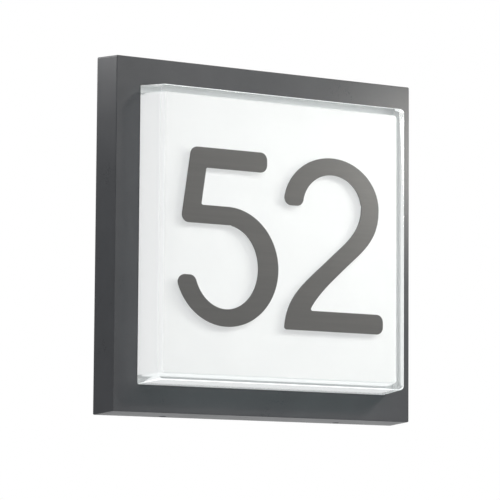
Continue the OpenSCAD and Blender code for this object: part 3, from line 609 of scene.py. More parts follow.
class Finishes:
    """Every finish of the light."""

    # The cover's holes, screw mouths and the groove round the glass get painted shade.
    COVER_PAINT = SurfaceFinish(
        "cover_paint", dark=(0.091, 0.094, 0.099), light=(0.103, 0.106, 0.112), grain=Grain.POWDER,
        grain_size=0.9, grain_depth=0.006, roughness=(0.27, 0.31), worn=(0.3, 0.31, 0.31), wear=0.12,
        dust=0.03, specular=0.3, recess_shade=0.9)
    DIGIT_PAINT = SurfaceFinish(
        "digit_paint", dark=(0.143, 0.143, 0.139), light=(0.156, 0.155, 0.15), grain=Grain.BRUSHED,
        grain_size=0.5, grain_depth=0.004, roughness=(0.32, 0.38), metallic=0.1, worn=(0.5, 0.5, 0.48),
        wear=0.2, wear_width=0.25, dust=0.03, specular=0.4)

    # The lit whites inside the glass. Their glow stands for the light of the chips behind them.
    # The copies for the lower, left and right walls glow more, and the deep walls by the flange glow less:
    # painted light and shade.
    LIT_WHITE = SurfaceFinish(
        "lit_white", dark=(0.44, 0.442, 0.444), light=(0.465, 0.467, 0.468), grain=Grain.POWDER,
        grain_size=1.6, grain_depth=0.004, roughness=(0.5, 0.6), wear=0.0, dust=0.0, glow=0.45)
    LOWER_WHITE = replace(LIT_WHITE, name="lower_white", glow=0.7)
    LEFT_WHITE = replace(LIT_WHITE, name="left_white", glow=0.68)
    RIGHT_WHITE = replace(LIT_WHITE, name="right_white", glow=0.66)
    FLANGE_WHITE = replace(
        LIT_WHITE, name="flange_white", dark=(0.72, 0.725, 0.728), light=(0.77, 0.775, 0.778), glow=0.2)
    WHITE_LAYER = SurfaceFinish(
        "white_layer", dark=(0.88, 0.89, 0.89), light=(0.92, 0.93, 0.93), grain_size=1.2,
        grain_depth=0.01, roughness=(0.45, 0.6), wear=0.0, dust=0.0, glow=0.28)

    # The clear glass. Its front edges and its lower face glow: a painted highlight for light that travels
    # inside it.
    CRYSTAL = ClearGlass("crystal_glass")
    CRYSTAL_EDGE = ClearGlass("crystal_edge", glow=0.6)
    CRYSTAL_UNDER = ClearGlass("crystal_under", glow=0.26)

    CLEAR_SEAL = SurfaceFinish(
        "clear_seal", dark=(0.5, 0.55, 0.55), light=(0.58, 0.62, 0.62), grain_size=0.8,
        roughness=(0.35, 0.5), wear=0.0, dust=0.0, scatter=0.15)
    TAPE = SurfaceFinish(
        "white_tape", dark=(0.7, 0.71, 0.71), light=(0.78, 0.79, 0.79), grain_size=0.5,
        grain_depth=0.03, roughness=(0.6, 0.75), wear=0.0, dust=0.0)
    # The pan's holes and inner corners get painted shade.
    CAST_PAN = SurfaceFinish(
        "cast_pan", dark=(0.41, 0.413, 0.416), light=(0.48, 0.48, 0.48), grain=Grain.CAST,
        grain_size=1.4, grain_depth=0.05, roughness=(0.42, 0.6), metallic=0.85,
        worn=(0.72, 0.72, 0.72), wear=0.35, dust=0.2, recess_shade=0.6)
    BLACK_RUBBER = SurfaceFinish(
        "black_rubber", dark=(0.016, 0.016, 0.017), light=(0.03, 0.03, 0.031), grain_size=0.7,
        grain_depth=0.04, roughness=(0.6, 0.75), worn=(0.08, 0.08, 0.08), wear=0.05, dust=0.25,
        sheen=0.15)

    # Mouldings
    WHITE_MOULDING = SurfaceFinish(
        "white_moulding", dark=(0.66, 0.65, 0.6), light=(0.74, 0.73, 0.69), grain_size=0.8,
        roughness=(0.38, 0.5), worn=(0.8, 0.8, 0.77), scatter=0.05)
    DRIVER_PLASTIC = SurfaceFinish(
        "driver_plastic", dark=(0.6, 0.6, 0.58), light=(0.68, 0.68, 0.66), grain_depth=0.03,
        roughness=(0.45, 0.58), worn=(0.75, 0.75, 0.74), dust=0.15)
    DRIVER_LID = replace(
        DRIVER_PLASTIC, name="driver_lid_plastic", dark=(0.45, 0.46, 0.46), light=(0.53, 0.54, 0.54),
        worn=(0.65, 0.65, 0.65))
    ORANGE_PLASTIC = SurfaceFinish(
        "orange_plastic", dark=(0.6, 0.12, 0.014), light=(0.72, 0.17, 0.025), grain_size=0.8,
        roughness=(0.32, 0.45), worn=(0.85, 0.35, 0.12))

    # The tray and the lamp board
    WHITE_COAT = SurfaceFinish(
        "white_coated_tray", dark=(0.74, 0.745, 0.74), light=(0.8, 0.805, 0.8), grain=Grain.POWDER,
        grain_size=0.9, worn=(0.5, 0.5, 0.5), wear=0.15, dust=0.05)
    BOARD_MASK = SurfaceFinish(
        "board_mask", dark=(0.7, 0.72, 0.71), light=(0.77, 0.79, 0.78), grain_size=0.5,
        grain_depth=0.01, roughness=(0.25, 0.35), worn=(0.62, 0.6, 0.5), wear=0.2, wear_width=0.25,
        dust=0.05, coat=0.3)
    BOARD_TRACE = replace(
        BOARD_MASK, name="board_trace", dark=(0.6, 0.62, 0.6), light=(0.68, 0.7, 0.68),
        grain=Grain.ROLLED, wear=0.0)
    CHIP_BODY = SurfaceFinish(
        "chip_body", dark=(0.72, 0.72, 0.7), light=(0.8, 0.8, 0.78), grain_size=0.3,
        grain_depth=0.01, roughness=(0.3, 0.4), dust=0.0)
    CHIP_RESIN = SurfaceFinish(
        "chip_resin", dark=(0.82, 0.56, 0.08), light=(0.9, 0.68, 0.14), grain_size=0.3,
        grain_depth=0.01, roughness=(0.12, 0.2), wear=0.0, dust=0.0, scatter=0.2, glow=0.4)

    # Screws and other bare metal
    PLATED_STEEL = SurfaceFinish(
        "steel_screws", dark=(0.5, 0.5, 0.48), light=(0.62, 0.62, 0.6), grain=Grain.ROLLED,
        grain_size=0.5, grain_depth=0.01, roughness=(0.25, 0.36), metallic=1.0,
        worn=(0.75, 0.75, 0.74), wear=0.3, wear_width=0.2)
    SPRING_STEEL = replace(
        PLATED_STEEL, name="spring_steel", dark=(0.46, 0.46, 0.45), light=(0.58, 0.58, 0.57),
        grain_size=0.6, roughness=(0.26, 0.36), worn=(0.7, 0.7, 0.7))
    TINNED = replace(
        PLATED_STEEL, name="tinned_lug", dark=(0.58, 0.58, 0.57), light=(0.7, 0.7, 0.69),
        grain_size=0.6, roughness=(0.2, 0.3), worn=(0.6, 0.42, 0.3), wear=0.2)
    BRASS = replace(
        PLATED_STEEL, name="brass_screws", dark=(0.58, 0.4, 0.15), light=(0.7, 0.52, 0.22),
        roughness=(0.22, 0.34), worn=(0.85, 0.7, 0.4))
    STAINLESS = replace(
        PLATED_STEEL, name="stainless_screw", dark=(0.55, 0.55, 0.54), light=(0.68, 0.68, 0.67),
        grain_size=0.4, grain_depth=0.008, roughness=(0.2, 0.3), worn=(0.8, 0.8, 0.8), wear=0.2,
        wear_width=0.15, dust=0.05)

    # Insulation of the leads
    BROWN_LEAD = SurfaceFinish(
        "brown_lead", dark=(0.05, 0.02, 0.01), light=(0.08, 0.033, 0.018), grain_size=0.6,
        grain_depth=0.01, roughness=(0.3, 0.42), wear=0.0, dust=0.08)
    BLUE_LEAD = replace(BROWN_LEAD, name="blue_lead", dark=(0.008, 0.04, 0.22), light=(0.016, 0.062, 0.3))
    YELLOW_LEAD = replace(
        BROWN_LEAD, name="green_yellow_lead", dark=(0.6, 0.5, 0.02), light=(0.7, 0.58, 0.04))
    GREEN_STRIPE = replace(
        BROWN_LEAD, name="green_stripe", dark=(0.02, 0.16, 0.03), light=(0.03, 0.22, 0.045))
    RED_LEAD = replace(BROWN_LEAD, name="red_lead", dark=(0.3, 0.008, 0.008), light=(0.4, 0.016, 0.014))
    BLACK_LEAD = replace(
        BROWN_LEAD, name="black_lead", dark=(0.012, 0.012, 0.013), light=(0.022, 0.022, 0.023))

    PALE_FLOOR = SurfaceFinish(
        "pale_floor", dark=(0.8, 0.8, 0.8), light=(0.84, 0.84, 0.84), grain_size=4.0,
        grain_depth=0.05, roughness=(0.6, 0.7), wear=0.0, dust=0.0)


# Making and dressing pieces


@dataclass
class SubAssembly:
    """A group of pieces that ride on one body."""

    body: Body = Body.BASE

    DRESSED: ClassVar[dict[str, Finish]] = {}

    def make(self) -> None:
        """Makes the group's own pieces, where it has any."""

    def build(self) -> None:
        """Makes the group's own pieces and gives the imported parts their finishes."""
        self.make()
        for node, finish in self.DRESSED.items():
            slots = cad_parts[node].data.materials
            slots.clear()
            slots.append(finish.build())
            LOG.info("%s: dressed with %s", node, finish.name)

    def add(self, name: str, mesh: bmesh.types.BMesh, finishes: list[Finish], replaced: str | None,
            slot: str, smooth_angle: float = 35.0, even_flats: bool = True) -> None:
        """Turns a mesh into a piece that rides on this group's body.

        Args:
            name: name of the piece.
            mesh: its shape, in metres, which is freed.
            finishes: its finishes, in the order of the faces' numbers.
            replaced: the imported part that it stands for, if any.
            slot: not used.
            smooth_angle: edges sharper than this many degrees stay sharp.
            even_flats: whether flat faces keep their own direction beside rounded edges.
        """
        data = bpy.data.meshes.new(name)
        bmesh.ops.recalc_face_normals(mesh, faces=mesh.faces)
        mesh.to_mesh(data)
        mesh.free()
        for polygon in data.polygons:
            polygon.use_smooth = True
        data.set_sharp_from_angle(angle=math.radians(smooth_angle))
        for finish in finishes:
            data.materials.append(finish.build())
        piece = bpy.data.objects.new(name, data)
        bpy.context.scene.collection.objects.link(piece)
        if even_flats:
            piece.modifiers.new("even_flats", "WEIGHTED_NORMAL").keep_sharp = True
        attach(piece, self.body.value)
        if replaced:
            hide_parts(replaced)
        LOG.info("%s: %d faces, rides on %s", name, len(data.polygons), self.body.value)


def ring_of(mesh: bmesh.types.BMesh, points: list[Vector]) -> Ring:
    """Adds a vertex to a mesh at each point.

    Args:
        mesh: the mesh that gets the vertices.
        points: their places, in metres.

    Returns:
        The vertices, in the same order.
    """
    return [mesh.verts.new(point) for point in points]


def bridge(mesh: bmesh.types.BMesh, rings: list[Ring], number: int = 0) -> None:
    """Joins closed rings of the same count, one after another, with four-sided faces.

    Args:
        mesh: the mesh that gets the faces.
        rings: the rings, in order.
        number: the finish number of the faces.
    """
    for first, second in zip(rings, rings[1:]):
        for i in range(len(first)):
            k = (i + 1) % len(first)
            mesh.faces.new((first[i], first[k], second[k], second[i])).material_index = number


def rounded_square(half: float, radius: float, distance: float, steps: int) -> list[Vector]:
    """Points round an upright square with rounded corners, seen from the front.

    Args:
        half: half of its width.
        radius: radius of its corners.
        distance: distance from the wall.
        steps: pieces of each corner's arc.

    Returns:
        The points, in metres.
    """
    points = []
    for corner, (x, z) in enumerate(((1, 1), (-1, 1), (-1, -1), (1, -1))):
        for i in range(steps + 1):
            turn = math.radians(90.0 * corner + 90.0 * i / steps)
            across = x * (half - radius) + radius * math.cos(turn)
            up = z * (half - radius) + radius * math.sin(turn)
            points.append(Vector((across, -distance, up)) * MM)
    return points


# The sub-assemblies


class GlassCoat(IntEnum):
    """Numbers of the finishes on the glass's faces."""

    CLEAR = 0
    FRONT_WHITE = 1
    FLANGE_WHITE = 2
    LOWER_WHITE = 3
    LEFT_WHITE = 4
    RIGHT_WHITE = 5
    LIT_EDGE = 6
    LOWER_CLEAR = 7


@dataclass
class GlassDish(SubAssembly):
    """Thick clear glass, white inside, with its flange and the layer behind it.

    Its sides lean inwards between the cover's face and its own front. The last
    five fields choose a face's finish by its direction, which places the painted
    highlights on the lit edges and the painted light and shade on the white walls.
    Each is a share of the face's normal: 1 for a face that looks straight along an axis.
    """

    body: Body = Body.COVER
    base_half: float = 124.5
    base_distance: float = 31.0
    stand_out: float = 29.5
    lean: float = 2.2
    wall: float = 6.0
    root_corner: float = 1.0
    corner: float = 4.0
    corner_fall: float = 0.6
    inner_corner: float = 3.0
    edge: float = 0.8
    flange_half: float = 131.3
    flange_corner: float = 10.5
    flange_back: float = 20.5
    flange_front: float = 26.5
    flange_edge: float = 0.6
    corner_steps: int = 14
    edge_steps: int = 6
    straight: float = 0.9
    aside: float = 0.4
    edge_slope: tuple[float, float] = (0.2, 0.97)
    corner_slope: tuple[float, float] = (0.15, 0.75)
    shaded_side: float = -0.1

    COATS: ClassVar[dict[GlassCoat, Finish]] = {
        GlassCoat.CLEAR: Finishes.CRYSTAL,
        GlassCoat.FRONT_WHITE: Finishes.LIT_WHITE,
        GlassCoat.FLANGE_WHITE: Finishes.FLANGE_WHITE,
        GlassCoat.LOWER_WHITE: Finishes.LOWER_WHITE,
        GlassCoat.LEFT_WHITE: Finishes.LEFT_WHITE,
        GlassCoat.RIGHT_WHITE: Finishes.RIGHT_WHITE,
        GlassCoat.LIT_EDGE: Finishes.CRYSTAL_EDGE,
        GlassCoat.LOWER_CLEAR: Finishes.CRYSTAL_UNDER,
    }
    DRESSED: ClassVar[dict[str, Finish]] = {
        "opal_layer": Finishes.WHITE_LAYER,
        "glass_seal": Finishes.CLEAR_SEAL,
    }

    def half(self, distance: float) -> float:
        """Half width of the leaning outside at a distance from the wall."""
        return self.base_half - self.lean * (distance - self.base_distance) / self.stand_out

    def _square(self, mesh: bmesh.types.BMesh, distance: float, half: float, radius: float) -> Ring:
        """One ring of the glass: a square with rounded corners.

        Args:
            mesh: the mesh that gets the ring.
            distance: distance from the wall.
            half: half of its width.
            radius: radius of its corners.

        Returns:
            The ring.
        """
        return ring_of(mesh, rounded_square(half, radius, distance, self.corner_steps))

    def _form(self, mesh: bmesh.types.BMesh, inset: float, back: float, corners: tuple[float, float],
              edge: float) -> list[Ring]:
        """Rings of the leaning wall and its rounded front edge.

        Args:
            mesh: the mesh that gets the rings.
            inset: distance inwards from the outside.
            back: distance of the first ring from the wall.
            corners: radius of the corners in the cover and at the front.
            edge: radius of the front edge.

        Returns:
            The rings, from back to front.
        """
        root, corner = corners
        rim = self.base_distance + self.stand_out - inset - edge
        rings = [self._square(mesh, d, self.half(d) - inset, root) for d in (back, self.base_distance)]
        for i in range(self.edge_steps + 1):
            turn = 0.5 * math.pi * i / self.edge_steps
            fall = edge * (1 - math.cos(turn))
            radius = corner - self.corner_fall * fall
            distance = rim + edge * math.sin(turn)
            rings.append(self._square(mesh, distance, self.half(rim) - inset - fall, radius))
        return rings

    def _flange(self, mesh: bmesh.types.BMesh) -> list[Ring]:
        """Rings of the flange that the clamps hold in the cover.

        Args:
            mesh: the mesh that gets the rings.

        Returns:
            The rings, from back to front.
        """
        slim_half, slim_corner = self.flange_half - self.flange_edge, self.flange_corner - self.flange_edge
        return [
            self._square(mesh, self.flange_back, slim_half, slim_corner),
            self._square(mesh, self.flange_back + self.flange_edge, self.flange_half, self.flange_corner),
            self._square(mesh, self.flange_front - self.flange_edge, self.flange_half, self.flange_corner),
            self._square(mesh, self.flange_front, slim_half, slim_corner),
        ]

    def _coat(self, face: bmesh.types.BMFace) -> GlassCoat:
        """Chooses a face's finish by its first one, its place and its direction.

        Args:
            face: the face.

        Returns:
            The number of its finish.
        """
        across, ahead, up = (abs(part) for part in face.normal)
        middle = face.calc_center_median()
        below = up > self.straight and middle.z < 0.0
        left = middle.x < 0.0
        coat = GlassCoat(face.material_index)
        # Lower, left and right walls take whites that glow more: painted light.
        if coat is GlassCoat.FRONT_WHITE and below:
            return GlassCoat.LOWER_WHITE
        if coat is GlassCoat.FRONT_WHITE and across > self.aside:
            return GlassCoat.LEFT_WHITE if left else GlassCoat.RIGHT_WHITE
        if coat is GlassCoat.FLANGE_WHITE and across > self.straight and left:
            # The left wall's deep part takes the right wall's painted light
            return GlassCoat.RIGHT_WHITE
        # Clear faces on the lit front edges and corners glow as a painted highlight, and the lower face glows
        # faintly as painted light.
        if coat is GlassCoat.CLEAR and middle.y < -self.base_distance * MM:
            least, most = self.corner_slope
            on_corner = min(across, up) > least and max(across, up) > most
            on_edge = self.edge_slope[0] < ahead < self.edge_slope[1]
            lit = face.normal.x > self.shaded_side or up > most
            if lit and (on_edge or on_corner):
                return GlassCoat.LIT_EDGE
            if below:
                return GlassCoat.LOWER_CLEAR
        return coat

    def make(self) -> None:
        """Makes the glass."""
        mesh = bmesh.new()
        outer = self._form(mesh, 0.0, self.flange_front, (self.root_corner, self.corner), self.edge)
        inner = self._form(mesh, self.wall, self.flange_back, (self.inner_corner,) * 2, 2 * self.edge)
        flange = self._flange(mesh)
        bridge(mesh, [*flange, *outer])
        # The deep inner walls behind the cover's face glow less: painted shade.
        bridge(mesh, [flange[0], *inner[:2]], GlassCoat.FLANGE_WHITE)
        bridge(mesh, inner[1:], GlassCoat.FRONT_WHITE)
        mesh.faces.new(outer[-1])
        mesh.faces.new(inner[-1]).material_index = GlassCoat.FRONT_WHITE
        mesh.normal_update()
        for face in mesh.faces:
            face.material_index = self._coat(face)
        coats = [self.COATS[coat] for coat in GlassCoat]
        self.add("clear_glass_dish", mesh, coats, "glass_dish", "crystal_glass")


@dataclass
class NumberPlates(SubAssembly):
    """The two digits, cut from sheet and stuck to the glass.

    Weld and reach are the distances within which points are one, or lie on the front.
    """

    body: Body = Body.COVER
    edge: float = 0.18
    edge_steps: int = 2
    weld: float = 0.002
    reach: float = 0.01
    flat_angle: float = 0.5
    rim_angle: float = 57.3

    DRESSED: ClassVar[dict[str, Finish]] = {"digit_tapes": Finishes.TAPE}

    def plate(self, node: str, name: str) -> None:
        """Makes one digit from its packed outline, with softened edges.

        Args:
            node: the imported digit.
            name: name of the new piece.
        """
        mesh = bmesh.new()
        mesh.from_mesh(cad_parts[node].data)
        bmesh.ops.remove_doubles(mesh, verts=mesh.verts, dist=self.weld * MM)
        flat = math.radians(self.flat_angle)
        bmesh.ops.dissolve_limit(mesh, angle_limit=flat, verts=mesh.verts, edges=mesh.edges)
        front = min(v.co.y for v in mesh.verts)
        rim = []
        for e in mesh.edges:
            on_front = all(abs(v.co.y - front) < self.reach * MM for v in e.verts)
            if on_front and len(e.link_faces) == 2 and e.calc_face_angle() > math.radians(self.rim_angle):
                rim.append(e)
        bmesh.ops.bevel(mesh, geom=rim, offset=self.edge * MM, segments=self.edge_steps, profile=0.5,
                        affect="EDGES", clamp_overlap=True)
        self.add(name, mesh, [Finishes.DIGIT_PAINT], node, "digit_paint")

    def make(self) -> None:
        """Makes both digits."""
        self.plate("digit_five", "plate_five")
        self.plate("digit_two", "plate_two")


@dataclass
class Cover(SubAssembly):
    """The painted cover with the clamps that hold the glass."""

    body: Body = Body.COVER

    DRESSED: ClassVar[dict[str, Finish]] = {
        "cover_frame": Finishes.COVER_PAINT,
        "glass_clamps": Finishes.SPRING_STEEL,
        "clamp_pads": Finishes.BLACK_RUBBER,
        "clamp_screws": Finishes.PLATED_STEEL,
    }


@dataclass
class LockingScrew(SubAssembly):
    """A set screw with its thread, its hexagon socket and its bevelled tip.

    The ridges of the thread are raised by the crest's factor and cut off at the
    radius, which leaves them flat on top.
    """

    body: Body = Body.LEFT_LOCK
    node: str = "lock_screw_left"
    radius: float = 2.5
    root: float = 2.08
    pitch: float = 0.8
    crest: float = 1.15
    thread_start: float = 0.35
    thread_stop: float = 0.4
    bevel: float = 0.8
    socket: float = 1.45
    socket_depth: float = 4.0
    socket_cone: float = 0.5
    socket_flare: float = 0.22
    flare_depth: float = 0.25
    round_off: float = 0.05
    sides: int = 24
    rows_per_pitch: int = 6
    smooth_angle: float = 28.0

    def _thread(self, height: float, side: int) -> float:
        """Radius of the thread at a height and side.

        Args:
            height: height above the lower end.
            side: number of the side.

        Returns:
            The radius, in millimetres.
        """
        phase = (height / self.pitch - side / self.sides) % 1.0
        ridge = 1.0 - abs(2.0 * phase - 1.0)
        return self.root + (self.radius - self.root) * min(1.0, self.crest * ridge)

    def _hexagon(self) -> list[float]:
        """Radius of the socket at each side.

        Returns:
            The radii, in millimetres.
        """
        flat = self.socket * math.cos(math.pi / 6)
        turns = [(2 * math.pi * k / self.sides) % (math.pi / 3) - math.pi / 6 for k in range(self.sides)]
        return [flat / math.cos(turn) for turn in turns]

    def _rows(self, length: float) -> list[tuple[float, list[float]]]:
        """Heights and radii of the screw's rows, from the socket's floor round to the tip.

        Args:
            length: length of the screw.

        Returns:
            Each row's height above the lower end and its radius at every side.
        """
        hexagon = self._hexagon()
        rows = [
            (self.socket_depth + self.socket_cone, [self.round_off] * self.sides),
            (self.socket_depth, hexagon),
            (self.flare_depth, hexagon),
            (0.0, [radius + self.socket_flare for radius in hexagon]),
            (0.0, [self.root - self.round_off] * self.sides),
        ]
        step = self.pitch / self.rows_per_pitch
        for row in range(int((length - self.bevel - self.thread_stop) / step) + 1):
            height = self.thread_start + row * step
            grow = min(1.0, row / self.rows_per_pitch)
            ridges = [self._thread(height, k) - self.root for k in range(self.sides)]
            rows.append((height, [self.root + grow * ridge for ridge in ridges]))
        rows.append((length - self.bevel, [self.root] * self.sides))
        rows.append((length, [self.radius - self.bevel] * self.sides))
        return rows

    def make(self) -> None:
        """Makes the screw in its place."""
        low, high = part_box(self.node)
        middle = Vector(((low.x + high.x) / 2, (low.y + high.y) / 2, low.z))
        turns = [2 * math.pi * k / self.sides for k in range(self.sides)]
        mesh = bmesh.new()
        rings = []
        for height, radii in self._rows((high.z - low.z) / MM):
            points = []
            for turn, radius in zip(turns, radii):
                offset = Vector((radius * math.cos(turn), radius * math.sin(turn), height))
                points.append(middle + offset * MM)
            rings.append(ring_of(mesh, points))
        bridge(mesh, rings)
        mesh.faces.new(rings[0])
        mesh.faces.new(rings[-1])
        coats = [Finishes.STAINLESS]
        self.add(self.node + "_threaded", mesh, coats, self.node, "stainless_screw", self.smooth_angle)


@dataclass
class BasePan(SubAssembly):
    """The cast pan on the wall with its cable entry."""

    DRESSED: ClassVar[dict[str, Finish]] = {
        "base_pan": Finishes.CAST_PAN,
        "pan_rim": Finishes.CAST_PAN,
        "pan_posts": Finishes.CAST_PAN,
        "cable_grommet": Finishes.BLACK_RUBBER,
    }


@dataclass(frozen=True)
class Lead:
    """One insulated lead.

    The route is a list of places as across, up and distance from the wall. Its
    first and last stretches are straight. The stripe is how many of the faces
    round the lead take the second finish.
    """

    node: str
    route: Route
    finishes: list[Finish]
    stripe: int = 0

    def line(self, steps: int) -> list[Vector]:
        """Middle line: a smooth curve through the route.

        Args:
            steps: points for each stretch.

        Returns:
            The points, in metres.
        """
        knots = [Vector((x, -d, z)) * MM for x, z, d in self.route]
        points = [knots[0]]
        for i in range(1, len(knots) - 2):
            a, b, c, d = knots[i - 1:i + 3]
            for k in range(steps):
                t = k / steps
                bend = (c - a) * t + (2 * a - 5 * b + 4 * c - d) * t * t + (3 * b - a - 3 * c + d) * t ** 3
                points.append(0.5 * (2 * b + bend))
        return points + knots[-2:]


@dataclass
class Wiring(SubAssembly):
    """Pieces that are joined by insulated leads.

    The seam is a direction that no lead starts along. Each lead's first side
    is square to it.
    """

    lead_radius: float = 1.2
    lead_sides: int = 16
    lead_steps: int = 8
    seam: Place = (0.3, 1.0, 0.2)

    LEADS: ClassVar[list[Lead]] = []

    def tube(self, points: list[Vector], stripe: int) -> bmesh.types.BMesh:
        """A round lead along a line of points, closed at both ends.

        Args:
            points: its middle line, in metres.
            stripe: how many of the faces round it take the second finish.

        Returns:
            The mesh.
        """
        mesh = bmesh.new()
        sides, last = self.lead_sides, len(points) - 1
        turns = [2 * math.pi * k / sides for k in range(sides)]
        along = [(points[min(i + 1, last)] - points[max(i - 1, 0)]).normalized() for i in range(last + 1)]
        side = along[0].cross(Vector(self.seam)).normalized()
        rings = []
        for point, ahead in zip(points, along):
            side = (side - side.dot(ahead) * ahead).normalized()
            up = ahead.cross(side)
            outwards = [math.cos(turn) * side + math.sin(turn) * up for turn in turns]
            rings.append(ring_of(mesh, [point + self.lead_radius * MM * out for out in outwards]))
        bridge(mesh, rings)
        for number, face in enumerate(mesh.faces):
            face.material_index = 1 if number % sides < stripe else 0
        mesh.faces.new(rings[0])
        mesh.faces.new(rings[-1])
        return mesh

    def make(self) -> None:
        """Makes the leads."""
        for lead in self.LEADS:
            mesh = self.tube(lead.line(self.lead_steps), lead.stripe)
            self.add(lead.node + "_insulated", mesh, lead.finishes, lead.node, lead.finishes[0].name)


@dataclass
class MainsConnection(Wiring):
    """Terminal block, earth connection and the leads from them."""

    LEADS: ClassVar[list[Lead]] = [
        Lead("live_lead", [(-12, -10, 11.2), (-12, -2, 11.2), (-32, 16, 12.2), (-73, 29.5, 13.2),
                           (-78, 49.5, 13.2), (-69, 53.5, 13.2), (-61, 53.5, 13.2)], [Finishes.BROWN_LEAD]),
        Lead("neutral_lead", [(0, -10, 11.2), (0, -2, 11.2), (-16, 20, 12.2), (-52, 27.5, 13.2),
                              (-73, 36.5, 13.2), (-69, 45.5, 13.2), (-61, 45.5, 13.2)], [Finishes.BLUE_LEAD]),
        Lead("earth_lead", [(12, -10, 11.2), (12, -2, 11.2), (28, 10, 11.2), (56, 8, 11.2),
                            (62, -4.8, 10.1), (62, -8.8, 10.1)],
             [Finishes.YELLOW_LEAD, Finishes.GREEN_STRIPE], stripe=8),
    ]
    DRESSED: ClassVar[dict[str, Finish]] = {
        "terminal_block": Finishes.WHITE_MOULDING,
        "terminal_screws": Finishes.BRASS,
        "terminal_fixing_screw": Finishes.PLATED_STEEL,
        "earth_screw": Finishes.BRASS,
        "earth_lug": Finishes.TINNED,
    }


@dataclass
class LampDriver(Wiring):
    """The lamp driver and its two leads to the board."""

    LEADS: ClassVar[list[Lead]] = [
        Lead("lamp_lead_red", [(61, 54.5, 13.2), (69, 54.5, 13.2), (97.6, 44, 15.2), (101.6, 31.5, 22),
                               (101.6, 31.5, 31.2), (91, 32, 32.8), (83, 32, 32.8)], [Finishes.RED_LEAD]),
        Lead("lamp_lead_black", [(61, 46.5, 13.2), (69, 46.5, 13.2), (93.6, 36, 15.2), (101.6, 28.5, 22),
                                 (101.6, 28.5, 31.2), (91, 28, 32.8), (83, 28, 32.8)], [Finishes.BLACK_LEAD]),
    ]
    DRESSED: ClassVar[dict[str, Finish]] = {
        "driver_case": Finishes.DRIVER_PLASTIC,
        "driver_lid": Finishes.DRIVER_LID,
        "driver_terminals": Finishes.ORANGE_PLASTIC,
        "driver_screws": Finishes.PLATED_STEEL,
    }


